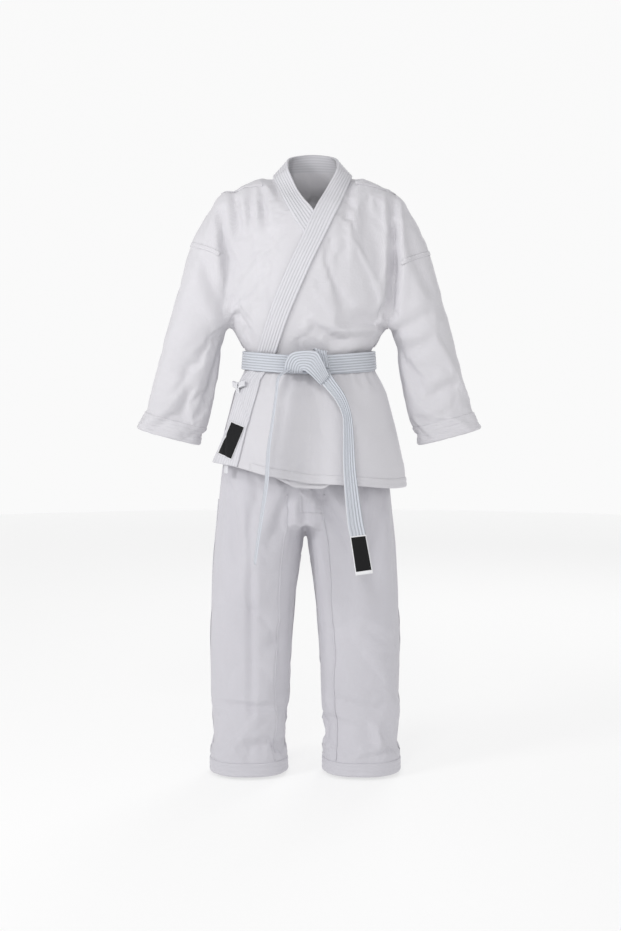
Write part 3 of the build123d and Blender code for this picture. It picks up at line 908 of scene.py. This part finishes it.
def tuck_under(piece, grid, facing, lowest, drop=0.0020, reach=0.020):
    """Press a piece's cloth under a band that lies on it, fading out beside the band."""
    rows, columns = grid.shape[:2]
    corners = [Vector(p) for p in grid.reshape(-1, 3)]
    tree = BVHTree.FromPolygons(corners, [
        (r * columns + c, r * columns + c + 1, (r + 1) * columns + c + 1, (r + 1) * columns + c)
        for r in range(rows - 1) for c in range(columns - 1)
    ])
    points, normals = points_of(piece), normals_of(piece)
    for i in np.flatnonzero(points[:, 2] > lowest):
        spot, _, face, _ = tree.find_nearest(Vector(points[i]), 0.035)
        if spot is None:
            continue
        outward = facing[face // (columns - 1), face % (columns - 1)]
        away = points[i] - np.array(spot)
        rise = away @ outward
        beside = np.linalg.norm(away - rise * outward)
        inner_layer = CANVAS if normals[i] @ outward < 0 else 0.0
        sink = rise + drop + inner_layer
        if rise > -0.014 and sink > 0 and beside < reach:
            points[i] -= outward * sink * (1 - float(ramp(np.array(beside), 0.002, reach)))
    move_points(piece, points)


for name in SIDES:
    tuck_under(jacket_parts[f"{name}_jacket_body"], neckband[78:200], neckband_facing[78:200], up(1.255))
for name, first, last, depth in (
    ("left_lapel_band", 0, LAPEL_END, 0.0028),
    ("collar_band", LAPEL_END, COLLAR_END, 0.0028),
    ("right_lapel_band", COLLAR_END, 218, 0.0010),
):
    piece = band(
        name, neckband[first : last + 1], neckband_facing[first : last + 1], 0.0026, BAND_CLOTH,
        ridges=STITCH_ROWS, ridge=0.00045, depth=depth,
    )
    place(piece, "jacket_band")


def skirt_strip(name, edges, heights_of, lift, material, thickness=0.0026, ridges=0, ridge=0.0004, rows=70, columns=ACROSS):
    """A band on the skirt: edges give its sides across the front, heights_of its ends."""
    (first_edge, last_edge), (high, low) = edges, heights_of
    down = np.linspace(0, 1, rows)[:, None]
    over = np.linspace(0, 1, columns)[None, :]
    height = high + (0.70 - high) * down + 0 * over
    for _ in range(3):
        x = first_edge(height) * (1 - over) + last_edge(height) * over
        height = high + (low(x) - high) * down
    grid = skirt_point(skirt_angle(x, height, lift), height, lift)
    return band(name, grid, facing_out(grid), thickness, material, ridges, ridge), grid


piece, lapel_lower = skirt_strip(
    "left_lapel_lower",
    (lambda h: rim_height(SKIRT_EDGE, h), lambda h: rim_height(SKIRT_SEAM, h)),
    (0.925, lambda x: rim_height(OUTER_HEM, x)),
    OUTER_LIFT + 0.0008, BAND_CLOTH, 0.003, ridges=STITCH_ROWS, ridge=0.0004,
)
place(piece, "jacket_band")


HEM_WIDTH = 0.022


def hem_band(name, panel, first_column=0):
    """The turned-up hem along the lower edge of a skirt panel."""
    grid = skirt_grids[panel][:, first_column:]
    outer = grid[-1]
    steps = np.linalg.norm(np.diff(grid, axis=0), axis=2).mean()
    count = max(3, int(round(HEM_WIDTH / steps)) + 1)
    part = grid[-count:]
    fine = smooth_path(part.reshape(count, -1), 17).reshape(17, -1, 3).transpose(1, 0, 2)
    normals = facing_out(fine)
    piece = band(name, fine, normals, 0.0019, JACKET_CLOTH, ridges=2, ridge=0.00035)
    return place(piece, "jacket_canvas")


hem_band("left_skirt_hem", "left_front_skirt", 12)
hem_band("right_skirt_hem", "right_front_skirt")
hem_band("left_back_hem", "left_back_skirt")
hem_band("right_back_hem", "right_back_skirt")


def ring_band(name, tree, centre, axis, low, high, material, ridges, thickness=0.0022, reach=0.2, around=97):
    """A sewn band round a sleeve or leg: rays towards its axis find the cloth."""
    centre, axis = Vector(centre), Vector(axis).normalized()
    first = axis.cross(Vector((0, 1, 0))).normalized()
    second = axis.cross(first)
    grid = []
    for turn in np.linspace(0, 2 * pi, around):
        outward = first * cos(turn) + second * sin(turn)
        line = []
        for along in np.linspace(low, high, 33):
            start = centre + axis * along + outward * reach
            spot, normal, _, _ = tree.ray_cast(start, -outward)
            if spot is None:
                spot, normal, _, _ = tree.find_nearest(start - outward * (reach - 0.06))
            line.append(spot)
        grid.append(line)
    grid = np.array(grid)
    round_, across = np.gradient(grid, axis=0), np.gradient(grid, axis=1)
    normals = np.cross(round_, across)
    normals /= np.maximum(np.linalg.norm(normals, axis=2, keepdims=True), 1e-9)
    middle = grid.mean(axis=(0, 1))
    if np.sum(normals * (grid - middle)) < 0:
        normals = -normals
    return band(name, grid, normals, thickness, material, ridges, 0.00035)


for name, side in SIDES.items():
    spot, facing = cuff_cut(side)
    sleeve = jacket_parts[f"{name}_jacket_sleeve"]
    cuff = ring_band(f"{name}_cuff_band", tree_of(sleeve), spot, -facing, 0.001, 0.041, JACKET_CLOTH, 5, reach=0.15)
    place(cuff, "jacket_canvas", f"{name}_sleeve")

# ---------------------------------------------------------------- welts over the seams
def welt(name, tree, route, width, material, thickness=0.0012, rows=None, ridges=2):
    """A stitched seam: a narrow band that follows the nearest cloth along a route."""
    length = np.linalg.norm(np.diff(np.array(route), axis=0), axis=1).sum()
    path = smooth_path(route, rows or max(8, int(length / 0.006)))
    snapped = [tree.find_nearest(Vector(p)) for p in path]
    spots = np.array([s[0] for s in snapped])
    facing = np.array([s[1] for s in snapped])
    for _ in range(6):
        spots[1:-1] = 0.5 * spots[1:-1] + 0.25 * (spots[:-2] + spots[2:])
        facing[1:-1] = 0.5 * facing[1:-1] + 0.25 * (facing[:-2] + facing[2:])
    along = np.gradient(spots, axis=0)
    across = np.cross(facing, along)
    across /= np.linalg.norm(across, axis=1, keepdims=True)
    grid, normals = [], []
    for spot, sideways in zip(spots, across):
        line = [tree.find_nearest(Vector(spot + sideways * width * s)) for s in np.linspace(-0.5, 0.5, 13)]
        grid.append([f[0] + f[1] * 0.0005 for f in line])
        normals.append([f[1] for f in line])
    return band(name, grid, normals, thickness, material, ridges, 0.00025)


def mirrored(route, side):
    return [(x * side, y, up(height)) for x, y, height in route]


for name, side in SIDES.items():
    out_x, out_h, in_x, in_h = SLEEVE_SEAM[side]
    for face, depth in (("front", -1), ("back", 1)):
        route = [
            (out_x, 0.0, out_h), (0.254, 0.050 * depth, out_h - 0.005),
            (0.224, 0.078 * depth, (out_h + in_h) / 2), (in_x + 0.004, 0.090 * depth, in_h + 0.001),
        ]
        piece = welt(f"{name}_sleeve_seam_{face}", jacket_tree, mirrored(route, side), 0.010, JACKET_CLOTH)
        bend_at_shoulder(piece)
    yoke = [(0.190, -0.012, 1.297), (0.150, -0.034, 1.306), (0.118, -0.041, 1.312), (0.100, -0.045, 1.314)]
    piece = welt(f"{name}_yoke_seam_front", jacket_tree, mirrored(yoke, side), 0.008, JACKET_CLOTH)
    bend_at_shoulder(piece)
    yoke = [(0.186, 0.070, 1.262), (0.140, 0.090, 1.266), (0.080, 0.090, 1.270), (0.004, 0.090, 1.272)]
    piece = welt(f"{name}_yoke_seam_back", jacket_tree, mirrored(yoke, side), 0.008, JACKET_CLOTH)
    bend_at_shoulder(piece)
    side_seam = [(0.172, 0.004, 1.012), (0.160, 0.003, 0.985), (0.148, 0.002, 0.958)]
    piece = welt(f"{name}_side_seam", jacket_tree, mirrored(side_seam, side), 0.008, JACKET_CLOTH)
    bend_at_shoulder(piece)
centre_back = [(0, 0.07, up(1.330)), (0, 0.10, up(1.250)), (0, 0.13, up(1.120)), (0, 0.11, up(0.960))]
place(welt("centre_back_seam", jacket_tree, centre_back, 0.010, JACKET_CLOTH), "jacket_canvas")
skirt_tree = tree_of(skirt_parts["left_back_skirt"], skirt_parts["right_back_skirt"])
centre_skirt = [(0, 0.11, up(0.900)), (0, 0.13, up(0.800)), (0, 0.15, up(0.700))]
place(welt("centre_skirt_seam", skirt_tree, centre_skirt, 0.010, JACKET_CLOTH), "jacket_canvas")

for name, side in SIDES.items():
    for part in ("body", "sleeve"):
        bend_at_shoulder(jacket_parts[f"{name}_jacket_{part}"])

# ---------------------------------------------------------------- belt, knot and tails
BELT_RIDGES = 7


def belt_wrap(name, lift, drop, width=0.0405):
    """One turn of the belt; it dips towards the knot."""
    angles = np.linspace(-pi / 2, 3 * pi / 2, 181)
    share = np.linspace(-0.5, 0.5, ACROSS)
    grid = []
    for angle in angles:
        dip = 0.0100 * max(0.0, -sin(angle)) ** 2 + drop * max(0.0, cos(angle)) * (sin(angle) < 0.6)
        x, y = rounded_rim(0.1440 + lift, 0.1075 + lift, np.array(angle), ROUNDNESS)
        line = [(float(x) * (1 - s * 0.02), float(y) * (1 - s * 0.02), up(0.9325 - dip + s * width)) for s in share]
        grid.append(line)
    grid = np.array(grid)
    return place(band(name, grid, facing_out(grid), 0.0024, BELT_CLOTH, BELT_RIDGES, 0.0005), "belt_webbing")


belt_wrap("inner_belt_turn", 0.0, 0.0045)
belt_wrap("outer_belt_turn", 0.0032, 0.0)


def ribbon(name, stations, count, thickness, material, ridges, ridge=0.0005, columns=ACROSS, first_facing=(0, -1, 0)):
    """A strip of webbing; each station gives the places of its two edges."""
    rows = smooth_path([(a[0], a[1], up(a[2]), b[0], b[1], up(b[2])) for a, b in stations], count)
    over = np.linspace(0, 1, columns)[None, :, None]
    grid = rows[:, None, :3] * (1 - over) + rows[:, None, 3:] * over
    normals = np.cross(np.gradient(grid, axis=0), np.gradient(grid, axis=1))
    normals /= np.maximum(np.linalg.norm(normals, axis=2, keepdims=True), 1e-9)
    if normals[count // 2, columns // 2].dot(np.array(first_facing)) < 0:
        normals = -normals
    return band(name, grid, normals, thickness, material, ridges, ridge), grid, normals


KNOT_OVER = [
    ((-0.0540, -0.1200, 0.9170), (-0.0160, -0.1240, 0.9180)),
    ((-0.0550, -0.1270, 0.9085), (-0.0140, -0.1330, 0.9080)),
    ((-0.0536, -0.1340, 0.9120), (-0.0130, -0.1400, 0.9100)),
    ((-0.0490, -0.1350, 0.9320), (-0.0125, -0.1430, 0.9110)),
    ((-0.0370, -0.1360, 0.9480), (-0.0120, -0.1450, 0.9112)),
    ((-0.0105, -0.1400, 0.9530), (-0.0100, -0.1470, 0.9105)),
    ((0.0109, -0.1450, 0.9520), (-0.0070, -0.1480, 0.9090)),
    ((0.0205, -0.1480, 0.9478), (-0.0030, -0.1490, 0.9060)),
    ((0.0312, -0.1490, 0.9276), (0.0077, -0.1490, 0.8966)),
    ((0.0419, -0.1450, 0.9030), (0.0227, -0.1450, 0.8816)),
    ((0.0416, -0.1400, 0.9040), (0.0222, -0.1400, 0.8828)),
    ((0.0370, -0.1385, 0.9090), (0.0180, -0.1385, 0.8870)),
]
KNOT_UNDER = [
    ((0.0080, -0.1300, 0.9540), (0.0400, -0.1260, 0.9500)),
    ((0.0120, -0.1400, 0.9555), (0.0380, -0.1350, 0.9480)),
    ((0.0180, -0.1380, 0.9440), (0.0410, -0.1330, 0.9350)),
    ((0.0200, -0.1340, 0.9200), (0.0460, -0.1320, 0.9150)),
]
LEFT_TAIL = [
    ((0.0200, -0.1370, 0.8970), (0.0430, -0.1370, 0.9120)),
    ((0.0281, -0.1400, 0.8816), (0.0516, -0.1400, 0.8965)),
    ((0.0559, -0.1490, 0.8475), (0.0773, -0.1490, 0.8582)),
    ((0.0708, -0.1540, 0.8155), (0.0901, -0.1540, 0.8219)),
    ((0.0730, -0.1590, 0.7834), (0.0955, -0.1590, 0.7800)),
    ((0.0730, -0.1670, 0.6979), (0.1010, -0.1670, 0.6960)),
    ((0.0816, -0.1750, 0.5912), (0.1145, -0.1760, 0.5990)),
    ((0.0880, -0.1780, 0.5549), (0.1222, -0.1790, 0.5592)),
    ((0.1000, -0.1850, 0.4740), (0.1370, -0.1860, 0.4795)),
]
# The other tail hangs edge-on: across, depth of its near edge, height, and how far its far edge is turned
RIGHT_TAIL = [
    (-0.0500, -0.1270, 0.9120, 0.010),
    (-0.0560, -0.1420, 0.9050, 0.006),
    (-0.0664, -0.1600, 0.8930, 0.004),
    (-0.0706, -0.1700, 0.8580, 0.004),
    (-0.0792, -0.1780, 0.7939, 0.004),
    (-0.0877, -0.1830, 0.7404, 0.006),
    (-0.0920, -0.1900, 0.6763, 0.007),
    (-0.1006, -0.1950, 0.6120, 0.006),
    (-0.1157, -0.2030, 0.5027, 0.004),
]
TAIL_DEPTH = 0.038
knot_over, _, _ = ribbon("belt_knot_over", KNOT_OVER, 120, 0.0026, BELT_CLOTH, BELT_RIDGES)
knot_under, _, _ = ribbon("belt_knot_under", KNOT_UNDER, 50, 0.0026, BELT_CLOTH, BELT_RIDGES)
for piece in (knot_over, knot_under):
    place(piece, "belt_webbing")
left_tail, tail_grid, tail_facing = ribbon("left_tail_webbing", LEFT_TAIL, 170, 0.0026, TAIL_CLOTH, 6, 0.0007)
selvedge = band(
    "left_tail_selvedge", tail_grid[:, :4] + tail_facing[:, :4] * 0.0018, tail_facing[:, :4], 0.0012, BELT_EDGE
)
right_stations = [
    ((x, y + TAIL_DEPTH / 2, h), (x + turn, y - TAIL_DEPTH / 2, h)) for x, y, h, turn in RIGHT_TAIL
]
right_tail, right_grid, right_facing = ribbon(
    "right_tail_webbing", right_stations, 170, 0.0026, TAIL_CLOTH, 6, 0.0005, first_facing=(-1, 0, 0)
)
for piece, name, pivot_x in (
    (left_tail, "left_belt_tail", 0.036), (selvedge, "left_belt_tail", 0.036), (right_tail, "right_belt_tail", -0.054),
):
    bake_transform(piece)

for name, material, rows, columns, lift in (
    ("belt_label_border", LABEL_EDGE, (0.873, 1.0), (0, 57), 0.0030),
    ("belt_label_face", LABEL_CLOTH, (0.880, 0.989), (3, 54), 0.0038),
):
    first, last = (int(share * 169) for share in rows)
    part = tail_grid[first : last + 1, columns[0] : columns[1] : 2]
    facing = tail_facing[first : last + 1, columns[0] : columns[1] : 2]
    piece = band(name, part + facing * lift, facing, 0.0006, material)
    place(piece, "label_black", "left_belt_tail")

LABEL_CORNERS = [(-0.1690, 0.7975), (-0.1431, 0.7870), (-0.1984, 0.7290), (-0.1707, 0.7185)]


def label_on_skirt(name, grow, lift, material):
    down = np.linspace(-grow, 1 + grow, 24)[:, None, None]
    over = np.linspace(-grow * 2, 1 + grow * 2, 14)[None, :, None]
    a, b, c, d = (np.array(corner) for corner in LABEL_CORNERS)
    spot = (a * (1 - over) + b * over) * (1 - down) + (c * (1 - over) + d * over) * down
    x, height = spot[..., 0], spot[..., 1]
    grid = skirt_point(skirt_angle(x, height, lift), height, lift)
    return place(band(name, grid, facing_out(grid), 0.0006, material), "label_black")


label_on_skirt("jacket_label_border", 0.025, OUTER_LIFT + 0.0048, LABEL_EDGE)
label_on_skirt("jacket_label_face", 0.0, OUTER_LIFT + 0.0056, LABEL_CLOTH)

# ---------------------------------------------------------------- side ties
def skirt_tape(name, low, high, angle, lift, width=0.013):
    """A tie that hangs between the layers of the skirt."""
    height = np.linspace(high, low, 40)[:, None]
    turn = angle + np.linspace(-0.5, 0.5, 9)[None, :] * width / 0.17 + 0.10 * (height - high)
    grid = skirt_point(turn + 0 * height, height + 0 * turn, lift)
    return place(band(name, grid, facing_out(grid), 0.0011, TIE_CLOTH, ridges=2, ridge=0.00015), "tie_tape")


skirt_tape("outer_tie_strip", 0.684, 0.868, radians(-155), INNER_LIFT + 0.0028)
skirt_tape("inner_tie_strip", 0.750, 0.868, radians(-8), INNER_LIFT + 0.0028)

BOW_SPOT, BOW_OUT = (-0.1520, -0.0740, 0.876), Vector((-0.80, -0.60, 0)).normalized()
LOOP = [(0.000, 0.002), (0.008, 0.006), (0.018, 0.006), (0.024, 0.003), (0.023, 0.000), (0.012, 0.000), (0.000, 0.001)]


def bow_strip(name, route, along, wide):
    """A strip of tie tape whose route is given along a direction and outwards."""
    spot, half = Vector(BOW_SPOT), Vector(wide) / 2
    stations = [(spot + Vector(along) * a + BOW_OUT * o - half, spot + Vector(along) * a + BOW_OUT * o + half) for a, o in route]
    piece, _, _ = ribbon(name, stations, 40, 0.0011, TIE_CLOTH, 2, 0.00015, columns=17, first_facing=BOW_OUT)
    return place(piece, "tie_tape")


level = Vector((0, 0, 1)).cross(BOW_OUT)
bow_strip("tie_bow_front_loop", LOOP, level * 0.9 + Vector((0, 0, 0.25)), (0, 0, 0.012))
bow_strip("tie_bow_back_loop", LOOP, -level * 0.9 + Vector((0, 0, 0.2)), (0, 0, 0.012))
bow_strip("tie_bow_knot", [(-0.008, 0.001), (-0.005, 0.008), (0.005, 0.008), (0.008, 0.001)], (0, 0, 1), level * 0.009)
bow_strip("tie_bow_end", [(0.000, 0.006), (0.012, 0.006), (0.030, 0.003), (0.045, 0.002)], Vector((0.1, 0, -1)), level * 0.012)

# ---------------------------------------------------------------- trousers
def hips_form():
    angles = np.linspace(0, 2 * pi, 96, endpoint=False)
    rings = []
    for height, wide, deep in smooth_rows(HIPS):
        x, y = rounded_rim(wide, deep, angles, 2.4)
        rings.append([Vector(p) for p in zip(x + TROUSER_MIDDLE, y, np.full_like(x, up(height)))])
    return form("hips_form", rings)


def leg_form(side):
    angles = np.linspace(0, 2 * pi, 64, endpoint=False)
    rings = []
    for height, reach, wide, deep in smooth_rows(LEG):
        x, y = rounded_rim(wide, deep, angles, 2.2)
        x = x + TROUSER_MIDDLE + side * reach
        rings.append([Vector(p) for p in zip(x, y, np.full_like(x, up(height)))])
    return form("leg_form", rings)


TROUSER_FRONT_FOLDS = [
    (-0.131, 0.620, -0.133, 0.050, 0.007, 0.0030),
    (-0.205, 0.168, -0.060, 0.168, 0.007, 0.0028),
    (-0.009, 0.640, -0.007, 0.570, 0.010, 0.008),
    (0.010, 0.655, 0.060, 0.600, 0.012, 0.005),
    (-0.025, 0.655, -0.075, 0.590, 0.013, 0.004),
    (0.020, 0.620, 0.090, 0.560, 0.014, 0.004),
    (-0.030, 0.610, -0.110, 0.530, 0.016, 0.004),
    (0.130, 0.340, 0.190, 0.310, 0.011, 0.0045),
    (0.120, 0.310, 0.195, 0.285, 0.010, 0.0035),
    (0.090, 0.360, 0.040, 0.330, 0.013, 0.003),
    (-0.180, 0.400, -0.100, 0.370, 0.016, 0.003),
    (-0.100, 0.300, -0.060, 0.330, 0.014, 0.003),
    (0.150, 0.600, 0.130, 0.450, 0.018, 0.004),
    (-0.170, 0.620, -0.160, 0.480, 0.018, 0.003),
    (0.060, 0.180, 0.170, 0.150, 0.014, 0.003),
    (0.130, 0.120, 0.135, 0.040, 0.016, 0.003),
]
TROUSER_BACK_FOLDS = [
    (-0.009, 0.700, -0.009, 0.570, 0.014, 0.009),
    (0.020, 0.620, 0.110, 0.560, 0.014, 0.005),
    (-0.035, 0.620, -0.120, 0.560, 0.014, 0.005),
    (0.060, 0.380, 0.180, 0.330, 0.015, 0.005),
    (-0.070, 0.380, -0.190, 0.330, 0.015, 0.005),
    (0.070, 0.320, 0.170, 0.290, 0.012, 0.004),
    (-0.080, 0.320, -0.180, 0.290, 0.012, 0.004),
]
trousers = joined_form("trousers", [hips_form(), leg_form(1), leg_form(-1)])
cut(trousers, (0, 0, up(0.962)), (0, 0, 1))
LEG_MIDDLE = 0.128


def hem_curve(piece):
    """Let the hems dip a little in front, as gravity pulls the full cloth."""
    points = points_of(piece)
    low = 1 - ramp(points[:, 2] - HEM, 0.0, 0.15)
    points[:, 2] += low * 0.004 * (points[:, 1] / 0.08)
    move_points(piece, points)


cut(trousers, (0, 0, HEM + 0.003), (0, 0, -1))
crease(trousers, TROUSER_FRONT_FOLDS)
crease(trousers, TROUSER_BACK_FOLDS, front=False)
crumple(trousers, 0.095, 0.0026)


def trouser_pins(points):
    """Held at the waist, the crotch and the hems."""
    height = points[:, 2] - HEM
    hem = 1 - ramp(height, 0.035, 0.06)
    waist = ramp(height, 0.66, 0.74)
    crotch = 0.6 * (np.abs(points[:, 0] - TROUSER_MIDDLE) < 0.03) * (height > 0.54)
    return np.maximum.reduce([hem, waist, crotch])


settle(trousers, trouser_pins, growth=0.028, cap=0.008)
trousers.data.materials.append(TROUSER_CLOTH)
seam_line(trousers, (TROUSER_MIDDLE, 0, 0), (1, 0, 0))


def bend_at_hip(piece):
    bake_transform(piece)


trouser_tree = tree_of(trousers)
trouser_parts = {}
for name, side in SIDES.items():
    half = copy_part(trousers, f"{name}_trouser_half", lambda c: (c.x - TROUSER_MIDDLE) * side > 0)
    wrap_cloth(half, (TROUSER_MIDDLE + side * 0.11, 0, 0), (0, 0, 1), (side, 0, 0), 0.095)
    thicken(half, 0.0015, 1)
    trouser_parts[name] = half
bpy.data.objects.remove(trousers)

for name, side in SIDES.items():
    tree = tree_of(trouser_parts[name])
    middle = TROUSER_MIDDLE + side * LEG_MIDDLE
    hem = ring_band(f"{name}_leg_hem_band", tree, (middle, 0, HEM), (0, 0, 1), 0.004, 0.034, TROUSER_CLOTH, 3, reach=0.12)
    place(hem, "trouser_canvas", f"{name}_leg")
    outside = [(middle + side * 0.10 - side * 0.03 * (h > 0.5), 0.01, up(h)) for h in (0.620, 0.450, 0.250, 0.036)]
    inside = [(middle - side * 0.075, 0.006, up(h)) for h in (0.500, 0.350, 0.200, 0.036)]
    topstitch = [(TROUSER_MIDDLE + side * 0.040, -0.10, up(h)) for h in (0.640, 0.500, 0.300, 0.036)]
    for seam, route, width in (("outside", outside, 0.009), ("inside", inside, 0.008), ("topstitch", topstitch, 0.004)):
        piece = welt(f"{name}_leg_{seam}_seam", trouser_tree, route, width, TROUSER_CLOTH, 0.0009)
        bend_at_hip(piece)
GUSSET = [("crotch_gusset_front", -1), ("crotch_gusset_back", 1)]
for name, face in GUSSET:
    grid, normals = [], []
    for height in np.linspace(0.655, 0.600, 26):
        line, out = [], []
        for x in np.linspace(-0.020, 0.030, 31):
            spot, normal, _, _ = trouser_tree.ray_cast(Vector((x, face, up(height))), Vector((0, -face, 0)))
            line.append(spot)
            out.append(normal)
        grid.append(line)
        normals.append(out)
    place(band(name, grid, normals, 0.0010, TROUSER_CLOTH), "trouser_canvas")
for name, side in SIDES.items():
    bend_at_hip(trouser_parts[name])


def waist_ring(name, low, high, lift, material, slot, pleats, depth, ridges):
    angles = np.linspace(-pi / 2, 3 * pi / 2, 361)
    grid = []
    for angle in angles:
        x, y = rounded_rim(0.121 + lift, 0.083 + lift, np.array(angle), 2.4)
        push = 1 + depth * cos(pleats * angle + 1.3 * sin(5 * angle))
        grid.append([(float(x) * push + TROUSER_MIDDLE, float(y) * push, up(h)) for h in np.linspace(low, high, 25)])
    grid = np.array(grid)
    return place(band(name, grid, facing_out(grid), 0.0016, material, ridges, 0.0004), slot)


waist_ring("gathered_waistband", 0.930, 0.967, 0.0012, TROUSER_CLOTH, "trouser_canvas", 60, 0.006, 3)
waist_ring("waist_elastic_ring", 0.936, 0.962, -0.0045, ELASTIC_CLOTH, "elastic", 90, 0.002, 5)

# ---------------------------------------------------------------- what stands for what
REPLACED = {
    "left_jacket_body": ("left_front_panel", "left_back_panel", "left_shoulder_yoke", "left_shoulder_cap"),
    "right_jacket_body": ("right_front_panel", "right_back_panel", "right_shoulder_yoke", "right_shoulder_cap"),
    "left_jacket_sleeve": ("left_sleeve",),
    "right_jacket_sleeve": ("right_sleeve",),
    "left_cuff_band": ("left_cuff",),
    "right_cuff_band": ("right_cuff",),
    "left_lapel_band": ("left_lapel",),
    "right_lapel_band": ("right_lapel",),
    "collar_band": ("collar",),
    "left_skirt_hem": ("left_front_hem",),
    "right_skirt_hem": ("right_front_hem",),
    "left_back_hem": ("back_hem",),
    "inner_belt_turn": ("belt_inner_wrap",),
    "outer_belt_turn": ("belt_outer_wrap",),
    "belt_knot_over": ("belt_knot",),
    "left_tail_webbing": ("left_belt_tail",),
    "right_tail_webbing": ("right_belt_tail",),
    "belt_label_face": ("belt_label",),
    "jacket_label_face": ("jacket_label",),
    "tie_bow_front_loop": ("outer_tie_bow",),
    "outer_tie_strip": ("outer_tie_tape",),
    "inner_tie_strip": ("inner_tie_tape",),
    "left_trouser_half": ("left_hip_panel", "left_leg"),
    "right_trouser_half": ("right_hip_panel", "right_leg"),
    "left_leg_hem_band": ("left_leg_hem",),
    "right_leg_hem_band": ("right_leg_hem",),
    "crotch_gusset_front": ("crotch_gusset",),
    "gathered_waistband": ("waistband",),
    "waist_elastic_ring": ("waist_elastic",),
}
for name, nodes in REPLACED.items():
    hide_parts(*nodes)


# ---------------------------------------------------------------- camera, light and floor
camera = bpy.data.objects.new("camera", bpy.data.cameras.new("camera"))
scene.collection.objects.link(camera)
scene.camera = camera
camera.data.sensor_fit = "VERTICAL"
camera.data.angle = radians(35.1)
camera.location = (0.0034, -3.3, up(0.940))
target = Vector((0.0034, 0, up(0.696)))
camera.rotation_euler = (target - camera.location).to_track_quat("-Z", "Y").to_euler()


def soft_light(name, place, size, power):
    lamp = bpy.data.objects.new(name, bpy.data.lights.new(name, "AREA"))
    lamp.data.size = size
    lamp.data.energy = power
    lamp.location = place
    lamp.rotation_euler = (Vector((0, 0, up(0.75))) - Vector(place)).to_track_quat("-Z", "Y").to_euler()
    scene.collection.objects.link(lamp)


soft_light("key", (-2.6, -1.9, up(2.2)), 0.9, 34)
soft_light("front", (0.3, -3.8, up(1.5)), 1.4, 5)
soft_light("chest", (-0.25, -1.45, up(1.95)), 0.35, 5.5)
soft_light("back", (0.9, 2.6, up(2.4)), 1.2, 22)
world = bpy.data.worlds.new("studio")
world.use_nodes = True
world.node_tree.nodes["Background"].inputs["Color"].default_value = (1.0, 1.0, 1.0, 1)
world.node_tree.nodes["Background"].inputs["Strength"].default_value = 0.35
scene.world = world
scene.view_settings.view_transform = "Standard"

def paper(name, tone, glow, corners, faces):
    """A sheet of pale studio paper, lit from itself, so that it stays pale all round."""
    sheet = new_object(name, corners, faces)
    look = bpy.data.materials.new(name)
    look.use_nodes = True
    shader = look.node_tree.nodes["Principled BSDF"]
    shader.inputs["Base Color"].default_value = (tone, tone, tone, 1)
    shader.inputs["Roughness"].default_value = 1.0
    shader.inputs["Specular IOR Level"].default_value = 0.0
    shader.inputs["Emission Color"].default_value = (1, 1, 1, 1)
    shader.inputs["Emission Strength"].default_value = glow
    sheet.data.materials.append(look)


FLOOR = HEM - 0.004
WALL_REACH, WALL_HEIGHT, WALL_SPANS = 5.8, 4.5, 48
floor = []
wall = []
for span in range(WALL_SPANS + 1):
    turn = 2 * pi * span / WALL_SPANS
    floor.append((WALL_REACH * cos(turn), WALL_REACH * sin(turn), FLOOR))
    wall.append((WALL_REACH * cos(turn), WALL_REACH * sin(turn), FLOOR + WALL_HEIGHT))
paper("floor", 0.35, 0.65, floor[:-1], [tuple(range(WALL_SPANS))])
paper("wall", 0.03, 0.93, floor + wall, [(i + 1, i, WALL_SPANS + 1 + i, WALL_SPANS + 2 + i) for i in range(WALL_SPANS)])
